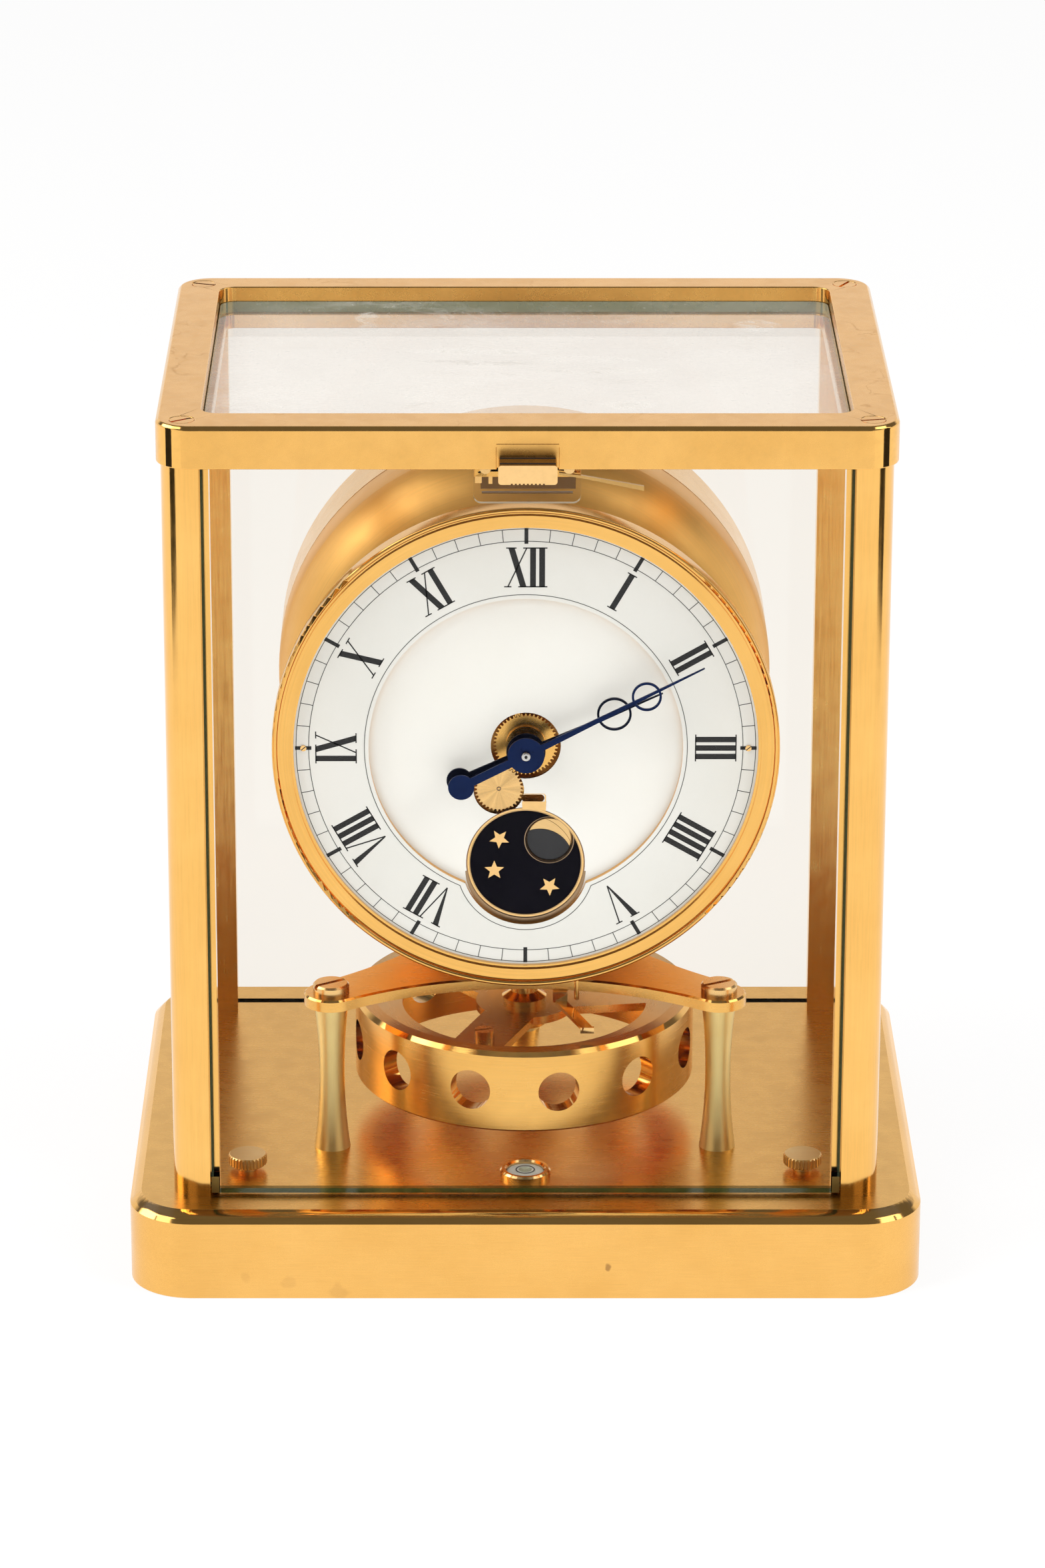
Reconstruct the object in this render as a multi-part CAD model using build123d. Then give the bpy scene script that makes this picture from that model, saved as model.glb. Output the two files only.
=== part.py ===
from build123d import *
import math
import os

# Moon phase desk clock, in millimetres.
# X runs to the right, Y to the back and Z up.
# The origin is on the table, under the centre of the base, and the dial faces -Y.

# Base
base_width = 208.0
base_depth = 160.0
base_height = 24.1
base_corner_radius = 16.5
base_chamfer = 3.0
base_wall = 9.0
base_top_thickness = 9.0
cover_thickness = 1.5
cover_recess = 3.5
cover_clearance = 0.4
cover_screw_inset = 14.0
cover_screw_radius = 1.5
cover_screw_head_radius = 3.0
cover_screw_head_height = 1.2
cover_screw_boss_radius = 4.5

# Case frame and posts
frame_side_setback = 10.4
frame_end_setback = 9.4
frame_height = 11.1
drum_headroom = 19.8
frame_front_rail = 12.6
frame_rear_rail = 10.0
frame_side_rail = 11.3
frame_corner_radius = 9.0
frame_opening_radius = 4.5
frame_chamfer = 0.8
top_glass_drop = 4.0
top_glass_lap = 1.8
post_side_inset = 1.1
post_face_inset = 1.8
post_width = 12.2
post_depth = 10.0
post_corner_radius = 8.0
glass_thickness = 3.0
glass_reveal = 0.6
glass_lap = 2.0
glass_gap = 0.3
glass_foot_gap = 0.8
glass_head_gap = 0.5
frame_screw_radius = 2.0
frame_screw_head_radius = 3.1
frame_screw_head_height = 1.8
frame_screw_length = 20.0
frame_screw_inset = 6.8
slot_width = 0.8
slot_depth = 0.7
screw_fit = 0.05

# Door and latch
door_pin_radius = 0.7
door_pin_height = 1.9
door_pin_setback = 0.95
door_pin_reach = 3.0
hinge_relief = 0.9
shoe_width = 2.0
shoe_height = 4.6
running_fit = 0.05
latch_width = 14.8
latch_height = 5.0
latch_reach = 7.5
latch_drop = 1.6
latch_travel = 2.0
latch_gap = 0.3
latch_lip_gap = 0.3
latch_neck_height = 3.0
latch_neck_depth = 3.0
latch_fillet = 0.8
grip_groove_count = 9
grip_groove_width = 0.5
grip_groove_depth = 0.3
grip_groove_pitch = 1.0
guard_width = 27.2
guard_height = 12.4
guard_thickness = 1.5
guard_setback = 9.0
guard_corner_radius = 2.0
guard_screw_radius = 0.8
guard_screw_head_radius = 1.4
guard_screw_head_height = 0.8
guard_screw_inset = 3.0
leaf_length = 25.0
leaf_width = 2.4
leaf_thickness = 0.5
leaf_drop_angle = 9.0

# Platform and pillars
platform_headroom = 7.8
platform_thickness = 3.2
front_pillar_gap = 13.4166
front_pillar_angle = -29.4318
rear_pillar_gap = 8.4
arm_end_radius = 7.2
platform_front_waist = 9.5
platform_side_waist = 2.6
platform_edge_chamfer = 0.5
pillar_top_radius = 4.6
pillar_waist_radius = 3.35
pillar_waist_height = 23.0
pillar_foot_radius = 4.8
platform_screw_head_radius = 4.8
platform_screw_head_height = 2.6
platform_screw_radius = 2.0
platform_screw_length = 12.0
platform_slot_width = 1.3
platform_slot_depth = 1.2

# Pendulum, its suspension and its lock
pendulum_y = -6.0
ring_front_gap = 13.6
ring_wall = 4.5
ring_foot_gap = 10.9
ring_height = 22.4
ring_chamfer = 1.1
ring_hole_radius = 5.5
ring_hole_count = 12
ring_hole_angle = -108.7
web_drop = 3.2
web_thickness = 2.2
window_inner_radius = 13.0
window_inset = 12.6
spoke_width = 14.0
spoke_count = 3
spoke_angle = -112.0
window_corner_radius = 3.0
hub_radius = 6.0
hub_below = 4.0
hub_gap = 0.2
hub_collar_height = 1.5
hub_neck_radius = 3.6
index_pin_radius = 2.6
index_pin_height = 3.6
index_pin_inset = 14.1
index_pin_angle = -110.0
index_slot_width = 0.6
wire_radius = 0.25
tube_radius = 1.6
tube_bore = 0.9
tube_hole_radius = 2.4
collar_radius = 4.0
collar_height = 2.2
collar_lift = 0.8
collar_gap = 0.3
lever_pivot_x = 9.4
lever_pivot_y = -15.0
lever_width = 3.9
lever_thickness = 1.0
lever_length = 11.6
lever_nose_depth = 1.0
lever_nose_height = 3.0
lever_reach = 14.0
lever_fall = 2.0
lever_tip_shift = 7.0
lever_strip_width = 2.9
lever_tip_width = 3.6
lever_tip_height = 1.6
lever_screw_radius = 1.2
lever_screw_head_radius = 2.0
lever_screw_head_height = 1.0
lever_swing = 18.0
stop_pin_radius = 0.7
stop_pin_length = 2.6
stop_pin_x = 13.8
stop_pin_inset = 8.8
cock_width = 9.0
cock_height = 7.0
cock_depth = 8.0
cock_rise = 38.0

# Dial, in a vertical plane
bezel_radius = 66.2
bezel_width = 5.6
bezel_wall = 4.1
dial_foot_gap = 3.2
bezel_front = -39.6
bezel_back = -30.5
bezel_bead = 1.4
bezel_groove = 0.7
bezel_groove_depth = 1.2
bezel_band_drop = 0.3
bezel_step = 0.8
bezel_skirt = 3.8
chapter_face = -37.3
chapter_thickness = 1.8
chapter_width = 19.6
inner_dial_thickness = 0.8
plate_edge_gap = 0.2
centre_opening_radius = 9.15
idler_opening_radius = 6.6
stadium_length = 6.0
stadium_width = 2.0
stadium_x = 1.9
stadium_z = -14.6
moon_drop = 32.8
moon_opening_radius = 16.6
sky_radius = 15.4
sky_rim_width = 0.8
sky_rim_height = 0.3
wheel_clearance = 0.15
sky_setback = 2.4
sky_thickness = 0.5
window_radius = 6.1
window_offset_x = 6.2
window_offset_z = 6.3
star_radius = 2.5
star_waist_share = 0.4
star_points = 5
star_thickness = 0.12
star_places_shares = [(-0.455, 0.44), (-0.55, -0.13), (0.435, -0.42)]
moon_disc_gap = 0.3
moon_disc_margin = 2.4
sky_foot_angles = (200, 270, 340)
sky_foot_inset = 1.0
moon_disc_thickness = 0.5
moon_mask_radius = 6.4
moon_mask_thickness = 0.15
moon_mask_angle = 21.0
dial_screw_radius = 0.8
dial_screw_height = 0.4
dial_screw_inset = 2.6
dial_pillar_radius = 2.0
dial_pillar_seat = 34.0
dial_foot_angles = (20, 160, 200, 340)

# Movement
front_plate_face = -24.5
back_plate_face = -13.0
plate_thickness = 2.0
plate_radius = 42.0
plate_leg_width = 34.0
plate_window_radius = 8.0
plate_window_seat = 29.0
plate_pillar_radius = 2.5
plate_pillar_seat = 38.5
plate_pillar_count = 4
plate_pillar_angle = 20.0
arbor_radius = 0.8
axial_gap = 0.5

# Gearing
hour_wheel_pitch_radius = 8.16
minute_wheel_pitch_radius = 7.65
moon_wheel_pitch_radius = 10.08
barrel_pitch_radius = 18.0
cannon_teeth = 12
minute_wheel_teeth = 36
minute_pinion_teeth = 12
hour_teeth = 48
idler_teeth = 36
idler_pinion_teeth = 8
third_teeth = 70
third_pinion_teeth = 8
moon_teeth = 72
centre_teeth = 48
escape_pinion_teeth = 12
centre_pinion_teeth = 10
barrel_teeth = 60
escape_teeth = 15
wheel_thickness = 0.8
pinion_thickness = 1.6
addendum_share = 0.85
dedendum_share = 1.15
tooth_root_share = 0.60
tooth_tip_share = 0.20
minute_wheel_angle = 105.0
idler_angle = -119.4
barrel_angle = 60.0
escape_wheel_radius = 10.5
escape_tooth_depth = 1.8
escape_tooth_lean_share = 0.2
barrel_drum_radius = 15.0
pallet_drop = 14.3
escape_angle = -62.0
pallet_reach = 9.0
pallet_width = 1.8
pallet_span = 13.0

# Hands
hand_thickness = 0.6
hand_gap = 2.3
hour_hand_face = -40.6
hand_angle_hour = 65.45
hand_angle_minute = 62.5
hour_hub_radius = 5.1
minute_hub_radius = 4.8
hour_hand_length = 39.0
minute_hand_gap = 8.6
hour_ring_seat = 25.2
minute_ring_seat = 35.2
hour_ring_radius = 4.5
minute_ring_radius = 3.9
hand_ring_line = 0.6
hand_root_width = 1.8
hand_tip_width = 0.3
hand_tail_length = 19.0
hand_tail_width = 2.2
hand_tail_radius = 3.4
hand_pipe_radius = 2.1
centre_pin_radius = 1.0
centre_pin_height = 0.8

# Drum with the bellows
drum_overhang = 0.1
drum_wall = 1.5
drum_front = -2.5
drum_rear_gap = 11.2
drum_cover_depth = 24.0
drum_seam_width = 0.7
drum_band = 5.5
drum_lap = 4.0
drum_lap_clearance = 0.1
bellows_side_gap = 10.8
bellows_fold_depth = 7.0
bellows_folds = 4
bellows_front_gap = 13.5
bellows_wall = 0.6
drum_stud_radius = 2.0
drum_stud_seat = 30.0
drum_stud_count = 4
drum_stud_angle = 45.0

# Level and levelling screws
level_setback = 10.8
level_radius = 6.7
level_height = 1.9
level_opening = 4.9
level_sink = 3.0
level_bezel_wall = 0.8
vial_dome = 0.5
knob_side_gap = 6.8
knob_setback = 14.6
knob_radius = 5.1
knob_height = 2.9
knob_clearance = 1.5
knob_flutes = 30
knob_flute_radius = 0.35
knob_chamfer = 0.4
screw_radius = 2.5
foot_radius = 6.0
foot_height = 3.0
foot_lift = 0.4
foot_socket_depth = 1.5
foot_pocket_gap = 0.5

# One length past a face, for every cut
overrun = 1.0

# Widths and depths that follow from the base
frame_width = base_width - 2 * frame_side_setback
frame_depth = base_depth - 2 * frame_end_setback
front_glass_face = -frame_depth / 2 + post_face_inset + glass_reveal
rear_glass_face = -front_glass_face
post_half_width = frame_width / 2 - post_side_inset
post_half_depth = frame_depth / 2 - post_face_inset
post_inner_x = post_half_width - post_width
side_glass_face = post_half_width - glass_reveal
front_glass_back = front_glass_face + glass_thickness
knob_x = post_inner_x - knob_side_gap
knob_y = front_glass_back + knob_setback
level_y = front_glass_back + level_setback
drum_rear = rear_glass_face - glass_thickness - drum_rear_gap
drum_seam = drum_rear - drum_cover_depth
drum_shoulder_radius = drum_seam - drum_front - drum_band

# Pendulum and pillars that follow from the depth of the case
ring_radius = pendulum_y - front_glass_back - ring_front_gap
window_outer_radius = ring_radius - window_inset
index_pin_seat = ring_radius - index_pin_inset
rear_pillar_y = pendulum_y + ring_radius + rear_pillar_gap

# Dial and drum that follow from the bezel
bezel_opening = bezel_radius - bezel_width
bezel_seat_radius = bezel_radius - bezel_wall
chapter_opening = bezel_opening - chapter_width
dial_screw_seat = bezel_opening - dial_screw_inset
minute_hand_length = bezel_opening - minute_hand_gap
drum_radius = bezel_radius + drum_overhang
bellows_radius = drum_radius - drum_wall - bellows_side_gap
bellows_waist_radius = bellows_radius - bellows_fold_depth
bellows_length = drum_rear - drum_front - 2 * drum_wall - bellows_front_gap

# Heights, from the base up
ring_bottom = base_height + ring_foot_gap
platform_underside = ring_bottom + ring_height + platform_headroom
platform_top = platform_underside + platform_thickness
dial_height = platform_top + dial_foot_gap + bezel_radius
frame_underside = dial_height + drum_radius + drum_headroom
case_height = frame_underside + frame_height
dial_centre = (0.0, dial_height)
moon_centre = (0.0, dial_height - moon_drop)

# Gear modules
hour_module = 2 * hour_wheel_pitch_radius / hour_teeth
minute_module = 2 * minute_wheel_pitch_radius / minute_wheel_teeth
moon_module = 2 * moon_wheel_pitch_radius / moon_teeth
train_module = 2 * barrel_pitch_radius / barrel_teeth


def polar(radius, angle, centre=(0.0, 0.0)):
    """Point at a radius and an angle in degrees from a centre."""
    return (
        centre[0] + radius * math.cos(math.radians(angle)),
        centre[1] + radius * math.sin(math.radians(angle)),
    )


def direction(a, b):
    """Angle in degrees of the line from one point to another."""
    return math.degrees(math.atan2(b[1] - a[1], b[0] - a[0]))


def facing(x, z, y):
    """Plane across Y at a point, seen from the front: X to the right and Z up."""
    return Plane(origin=(x, y, z), x_dir=(1, 0, 0), z_dir=(0, -1, 0))


def slab(sketch, centre, y_front, y_back):
    """Extrude a front-view sketch between two depths."""
    return extrude(facing(centre[0], centre[1], y_back) * sketch, amount=y_back - y_front)


def rod(radius, centre, y_front, y_back):
    """Round bar along Y between two depths."""
    return slab(Circle(radius), centre, y_front, y_back)


def post_bar(radius, x, y, z_low, z_high):
    """Round bar along Z between two heights."""
    return Pos(x, y, z_low) * extrude(Circle(radius), amount=z_high - z_low)


def block(x_low, x_high, y_low, y_high, z_low, z_high):
    """Box between two corners."""
    centre = Pos((x_low + x_high) / 2, (y_low + y_high) / 2, (z_low + z_high) / 2)
    return centre * Box(x_high - x_low, y_high - y_low, z_high - z_low)


def turned_on_y(points, centre):
    """Revolve a closed outline of (radius, y) points round a horizontal axis."""
    face = make_face(Polyline(*[(r, y, 0) for r, y in points], close=True))
    return Pos(centre[0], 0, centre[1]) * revolve(face, Axis.Y)


def turned_on_z(points, x, y):
    """Revolve a closed outline of (radius, z) points round a vertical axis."""
    face = make_face(Polyline(*[(r, 0, z) for r, z in points], close=True))
    return Pos(x, y, 0) * revolve(face, Axis.Z)


def slotted(head, x, y, z_top, radius, width, depth, angle):
    """Cut a screwdriver slot across the top of a head."""
    long_side = 2 * (radius + overrun)
    cut = Pos(x, y, z_top) * Rot(0, 0, angle) * Box(long_side, width, 2 * depth)
    return head - cut


def write(name, shape):
    """Write one sub-part, as one solid or as a group of separate solids."""
    solids = shape.solids()
    export_step(Compound(children=solids) if len(solids) > 1 else solids[0], f"parts/{name}.step")


# Base


def base_plinth():
    outline = RectangleRounded(base_width, base_depth, base_corner_radius)
    body = extrude(outline, amount=base_height)
    body = chamfer(body.faces().sort_by(Axis.Z)[-1].edges(), base_chamfer)
    cavity = RectangleRounded(
        base_width - 2 * base_wall,
        base_depth - 2 * base_wall,
        base_corner_radius - base_wall,
    )
    body -= extrude(cavity, amount=base_height - base_top_thickness)
    for x, y in cover_screw_places():
        boss = post_bar(
            cover_screw_boss_radius, x, y, cover_recess, base_height - base_top_thickness
        )
        body += boss
        body -= post_bar(
            cover_screw_radius + screw_fit, x, y, 0, base_height - base_top_thickness
        )
    for side in (-1, 1):
        body -= post_bar(
            screw_radius + running_fit, side * knob_x, knob_y, 0, base_height + overrun
        )
    body -= post_bar(
        level_radius - level_bezel_wall, 0, level_y, base_height - level_sink, case_height
    )
    return body


def cover_screw_places():
    x = base_width / 2 - base_wall - cover_screw_inset
    y = base_depth / 2 - base_wall - cover_screw_inset / 2
    return [(-x, -y), (x, -y), (-x, y), (x, y)]


def bottom_cover():
    gap = base_wall + cover_clearance
    outline = RectangleRounded(
        base_width - 2 * gap, base_depth - 2 * gap, base_corner_radius - gap
    )
    plate = Pos(0, 0, cover_recess - cover_thickness) * extrude(outline, amount=cover_thickness)
    for x, y in cover_screw_places():
        plate -= post_bar(cover_screw_radius + screw_fit, x, y, 0, base_height)
    for side in (-1, 1):
        plate -= post_bar(foot_radius + foot_pocket_gap, side * knob_x, knob_y, 0, base_height)
    return plate


def bottom_cover_screws():
    screws = []
    seat = cover_recess - cover_thickness
    for x, y in cover_screw_places():
        shank = post_bar(cover_screw_radius, x, y, seat, base_height - base_top_thickness)
        head = post_bar(cover_screw_head_radius, x, y, seat - cover_screw_head_height, seat)
        screws.append(shank + head)
    return Compound(children=screws)


def level_bezel():
    low = base_height
    top = base_height + level_height
    lip = level_radius - level_bezel_wall
    points = [
        (level_opening, low - level_sink + vial_dome),
        (level_opening, top - vial_dome),
        (level_opening + vial_dome, top),
        (level_radius - vial_dome, top),
        (level_radius, top - vial_dome),
        (level_radius, low),
        (lip - running_fit, low),
        (lip - running_fit, low - level_sink + vial_dome),
    ]
    return turned_on_z(points, 0, level_y)


def level_vial():
    """Glass capsule with a slightly domed top."""
    low = base_height - level_sink + vial_dome
    top = base_height + level_height - 2 * vial_dome
    radius = level_opening - running_fit
    rise = (radius ** 2 + vial_dome ** 2) / (2 * vial_dome)
    shoulder = math.sqrt(rise ** 2 - (radius / 2) ** 2) - rise + vial_dome
    dome = ThreePointArc((radius, 0, top), (radius / 2, 0, top + shoulder), (0, 0, top + vial_dome))
    side = Polyline((0, 0, top + vial_dome), (0, 0, low), (radius, 0, low), (radius, 0, top))
    return Pos(0, level_y, 0) * revolve(make_face([dome, side]), Axis.Z)


def levelling_screw(side):
    x = side * knob_x
    knob_low = base_height + knob_clearance
    knob_high = knob_low + knob_height
    knob = post_bar(knob_radius, x, knob_y, knob_low, knob_high)
    rim = knob.edges().filter_by(GeomType.CIRCLE)
    knob = chamfer(rim, knob_chamfer)
    for i in range(knob_flutes):
        fx, fy = polar(knob_radius, i * 360 / knob_flutes, (x, knob_y))
        knob -= post_bar(knob_flute_radius, fx, fy, knob_low, knob_high)
    shank = post_bar(screw_radius, x, knob_y, foot_top() - foot_socket_depth, knob_low)
    return knob + shank


def foot_top():
    return foot_lift + foot_height


def levelling_foot(side):
    x = side * knob_x
    foot = post_bar(foot_radius, x, knob_y, foot_lift, foot_top())
    foot = chamfer(foot.faces().sort_by(Axis.Z)[-1].edges(), foot_lift)
    socket = post_bar(
        screw_radius + running_fit, x, knob_y, foot_top() - foot_socket_depth, base_height
    )
    return foot - socket


# Case frame, posts and glass


def corner_post(side_x, side_y):
    """Post with a round outer corner and a rebate for each pane."""
    x_out = side_x * post_half_width
    y_out = side_y * post_half_depth
    x_in = side_x * post_inner_x
    y_in = side_y * (post_half_depth - post_depth)
    section = Pos((x_out + x_in) / 2, (y_out + y_in) / 2) * Rectangle(post_width, post_depth)
    corner = section.vertices().sort_by_distance((x_out, y_out))[0]
    section = fillet(corner, post_corner_radius)
    body = Pos(0, 0, base_height) * extrude(section, amount=frame_underside - base_height)
    rebate = glass_thickness + glass_reveal + glass_gap
    lap = glass_lap + glass_gap
    face_cut = sorted([x_in, x_in + side_x * lap])
    face_y = sorted([y_out + side_y * overrun, y_out - side_y * rebate])
    body -= block(*face_cut, *face_y, base_height, frame_underside)
    side_x_cut = sorted([x_out + side_x * overrun, x_out - side_x * rebate])
    side_y_cut = sorted([y_in, y_in + side_y * lap])
    body -= block(*side_x_cut, *side_y_cut, base_height, frame_underside)
    sx, sy = frame_screw_place(side_x, side_y)
    hole_low = case_height - frame_screw_length
    body -= post_bar(frame_screw_radius + screw_fit, sx, sy, hole_low, frame_underside)
    if side_y < 0:
        body -= door_pin(side_x, running_fit)
        relief = (y_out, y_out + rebate + hinge_relief)
        body -= block(*face_cut, *relief, base_height, pane_low() + shoe_height)
    return body


def corner_posts(side_y):
    return Compound(children=[corner_post(side_x, side_y) for side_x in (-1, 1)])


def frame_screw_place(side_x, side_y):
    return (
        side_x * (frame_width / 2 - frame_screw_inset),
        side_y * (frame_depth / 2 - frame_screw_inset),
    )


def frame_opening_centre():
    return (frame_front_rail - frame_rear_rail) / 2


def frame_opening(shrink, radius):
    width = frame_width - 2 * frame_side_rail - 2 * shrink
    depth = frame_depth - frame_front_rail - frame_rear_rail - 2 * shrink
    return Pos(0, frame_opening_centre()) * RectangleRounded(width, depth, radius)


def top_frame():
    body = extrude(RectangleRounded(frame_width, frame_depth, frame_corner_radius), frame_height)
    body = Pos(0, 0, frame_underside) * body
    body = chamfer(body.faces().sort_by(Axis.Z)[-1].edges(), frame_chamfer)
    ledge = case_height - top_glass_drop - glass_thickness
    upper = frame_opening(0, frame_opening_radius)
    lower = frame_opening(top_glass_lap, frame_opening_radius - top_glass_lap)
    body -= Pos(0, 0, ledge) * extrude(upper, amount=case_height)
    body -= Pos(0, 0, frame_underside) * extrude(lower, amount=case_height)
    for side_x in (-1, 1):
        for side_y in (-1, 1):
            x, y = frame_screw_place(side_x, side_y)
            body -= post_bar(frame_screw_radius + screw_fit, x, y, frame_underside, case_height)
            head_low = case_height - frame_screw_head_height
            body -= post_bar(frame_screw_head_radius + screw_fit, x, y, head_low, case_height)
    return body - latch_notch() + guard_bracket()


def frame_screws():
    screws = []
    turns = {(-1, -1): 35.0, (1, -1): 12.0, (-1, 1): -20.0, (1, 1): 62.0}
    for (side_x, side_y), turn in turns.items():
        x, y = frame_screw_place(side_x, side_y)
        head_low = case_height - frame_screw_head_height
        head_top = case_height - screw_fit
        shank_low = case_height - frame_screw_length + screw_fit
        body = post_bar(frame_screw_radius, x, y, shank_low, head_low)
        body += post_bar(frame_screw_head_radius, x, y, head_low, head_top)
        screws.append(
            slotted(body, x, y, head_top, frame_screw_head_radius, slot_width, slot_depth, turn)
        )
    return Compound(children=screws)


def top_glass():
    pane = frame_opening(glass_gap, frame_opening_radius - glass_gap)
    low = case_height - top_glass_drop - glass_thickness
    return Pos(0, 0, low) * extrude(pane, amount=glass_thickness)


def pane_low():
    return base_height + glass_foot_gap


def pane_high():
    return frame_underside - glass_head_gap


def side_glasses():
    return Compound(children=[side_glass(side) for side in (-1, 1)])


def side_glass(side):
    reach = post_half_depth - post_depth + glass_lap
    x = sorted([side * side_glass_face, side * (side_glass_face - glass_thickness)])
    return block(*x, -reach, reach, base_height, pane_high())


def rear_glass():
    reach = post_inner_x + glass_lap
    y_low = rear_glass_face - glass_thickness
    return block(-reach, reach, y_low, rear_glass_face, base_height, pane_high())


def front_glass():
    reach = post_inner_x + glass_lap
    y_high = front_glass_face + glass_thickness
    pane = block(-reach, reach, front_glass_face, y_high, pane_low(), pane_high())
    for side in (-1, 1):
        x = sorted([side * (reach - shoe_width), side * (reach + overrun)])
        y = (front_glass_face - overrun, y_high + overrun)
        pane -= block(*x, *y, base_height, pane_low() + shoe_height)
    return pane


def door_axis():
    return front_glass_face + door_pin_setback, pane_low() + door_pin_height


def door_pin(side, clearance):
    """Pivot pin of the door, from inside the post into the door shoe."""
    y, z = door_axis()
    start = side * (post_inner_x + glass_lap - shoe_width + overrun)
    length = shoe_width - overrun + glass_gap + door_pin_reach
    plane = Plane(origin=(start, y, z), x_dir=(0, 1, 0), z_dir=(side, 0, 0))
    return extrude(plane * Circle(door_pin_radius + clearance), amount=length)


def door_shoes():
    """Metal corners of the door, each with the pivot pin that runs in its post."""
    shoes = []
    reach = post_inner_x + glass_lap
    for side in (-1, 1):
        x = sorted([side * (reach - shoe_width), side * reach])
        y = (front_glass_face, front_glass_face + glass_thickness)
        shoe = block(*x, *y, pane_low(), pane_low() + shoe_height)
        shoes.append(shoe + door_pin(side, 0))
    return Compound(children=shoes)


def latch_low():
    return frame_underside - latch_drop


def latch_back():
    return front_glass_face + latch_neck_depth - latch_lip_gap


def latch_notch():
    """Notch in the front rail for the latch button and its lift."""
    half = latch_width / 2 + latch_gap
    top = latch_low() + latch_height + latch_travel + latch_gap
    back = latch_back() + latch_gap
    return block(-half, half, -frame_depth, back, frame_underside - overrun, top)


def latch_button():
    half = latch_width / 2
    low = latch_low()
    top = low + latch_height
    front = -frame_depth / 2 - latch_reach
    lip = front_glass_face - latch_lip_gap
    head = block(-half, half, front, lip, low, top)
    head = fillet(head.edges().filter_by(Axis.Y), latch_fillet)
    neck = block(-half, half, lip, latch_back(), top - latch_neck_height, top)
    body = head + neck
    for i in range(grip_groove_count):
        x = (i - (grip_groove_count - 1) / 2) * grip_groove_pitch
        half_groove = grip_groove_width / 2
        cut_top = low + grip_groove_depth
        body -= block(
            x - half_groove, x + half_groove, front, -frame_depth / 2, low - overrun, cut_top
        )
    return body


def guard_y():
    return front_glass_face + guard_setback


def guard_top():
    return frame_underside


def guard_plate():
    """Clear plate that hangs behind the latch."""
    outline = Pos(0, -guard_height / 2) * Rectangle(guard_width, guard_height)
    corners = outline.vertices().sort_by(Axis.Y)[:2]
    outline = fillet(corners, guard_corner_radius)
    plate = slab(outline, (0, guard_top()), guard_y(), guard_y() + guard_thickness)
    return plate - guard_screw_shanks(screw_fit)


def guard_screw_place(side):
    return (side * (guard_width / 2 - guard_screw_inset), guard_top() - guard_screw_inset)


def guard_screw_shanks(clearance):
    shanks = [
        rod(
            guard_screw_radius + clearance,
            guard_screw_place(side),
            guard_y() - guard_screw_head_height,
            guard_y() + guard_thickness + guard_bracket_thickness(),
        )
        for side in (-1, 1)
    ]
    return Compound(children=shanks)


def guard_bracket_thickness():
    return guard_thickness


def guard_bracket():
    """Small rail under the front of the frame, for the clear plate and the leaf spring."""
    y_low = guard_y() + guard_thickness
    height = 2 * guard_screw_inset
    half = guard_width / 2
    rail = block(
        -half, half, y_low, y_low + guard_bracket_thickness(), guard_top() - height, guard_top()
    )
    return rail - guard_screw_shanks(screw_fit)


def guard_screws():
    screws = []
    for side, shank in zip((-1, 1), guard_screw_shanks(0).solids()):
        place = guard_screw_place(side)
        head = rod(
            guard_screw_head_radius, place, guard_y() - guard_screw_head_height, guard_y()
        )
        screws.append(head + shank)
    return Compound(children=screws)


def door_leaf_spring():
    """Slim leaf that leans on the inner face of the door."""
    root_x = guard_width / 2
    z = guard_top() - guard_screw_inset
    y_back = guard_y() + guard_thickness + guard_bracket_thickness()
    foot = block(
        root_x, root_x + leaf_width, y_back - guard_bracket_thickness() - guard_thickness,
        y_back, z - leaf_width, frame_underside,
    )
    y_free = front_glass_face + glass_thickness + glass_gap
    y_root = y_back - guard_bracket_thickness()
    x_root = root_x + leaf_width
    x_free = x_root + leaf_length - leaf_width
    line = [
        (x_root, y_root - guard_thickness),
        (x_free, y_free),
        (x_free, y_free + leaf_thickness),
        (x_root, y_root - guard_thickness + leaf_thickness),
    ]
    sketch = make_face(Polyline(*line, close=True))
    drop = math.tan(math.radians(leaf_drop_angle)) * (x_free - x_root)
    leaf = Pos(0, 0, z - leaf_width) * extrude(sketch, amount=leaf_width)
    return foot + Pos(x_root, 0, z) * Rot(0, leaf_drop_angle, 0) * Pos(-x_root, 0, -z) * leaf


# Platform and pillars


def pillar_places():
    x, y = polar(ring_radius + front_pillar_gap, front_pillar_angle, (0, pendulum_y))
    return {"left": (-x, y), "right": (x, y), "rear": (0.0, rear_pillar_y)}


def waisted_edge(start, end, waist, centroid):
    """Hollow edge between two arm ends, tangent to both round ends."""
    middle = ((start[0] + end[0]) / 2, (start[1] + end[1]) / 2)
    half = math.dist(start, end) / 2
    across = ((start[1] - end[1]) / (2 * half), (end[0] - start[0]) / (2 * half))
    inward = across
    if (centroid[0] - middle[0]) * across[0] + (centroid[1] - middle[1]) * across[1] < 0:
        inward = (-across[0], -across[1])
    r = arm_end_radius
    radius = (half ** 2 + waist ** 2 - r ** 2) / (2 * (waist + r))
    centre = (
        middle[0] + inward[0] * (waist - radius),
        middle[1] + inward[1] * (waist - radius),
    )
    deepest = (middle[0] + inward[0] * waist, middle[1] + inward[1] * waist)
    touch = [polar(r, direction(place, centre), place) for place in (start, end)]
    return touch[0], deepest, touch[1]


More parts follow.
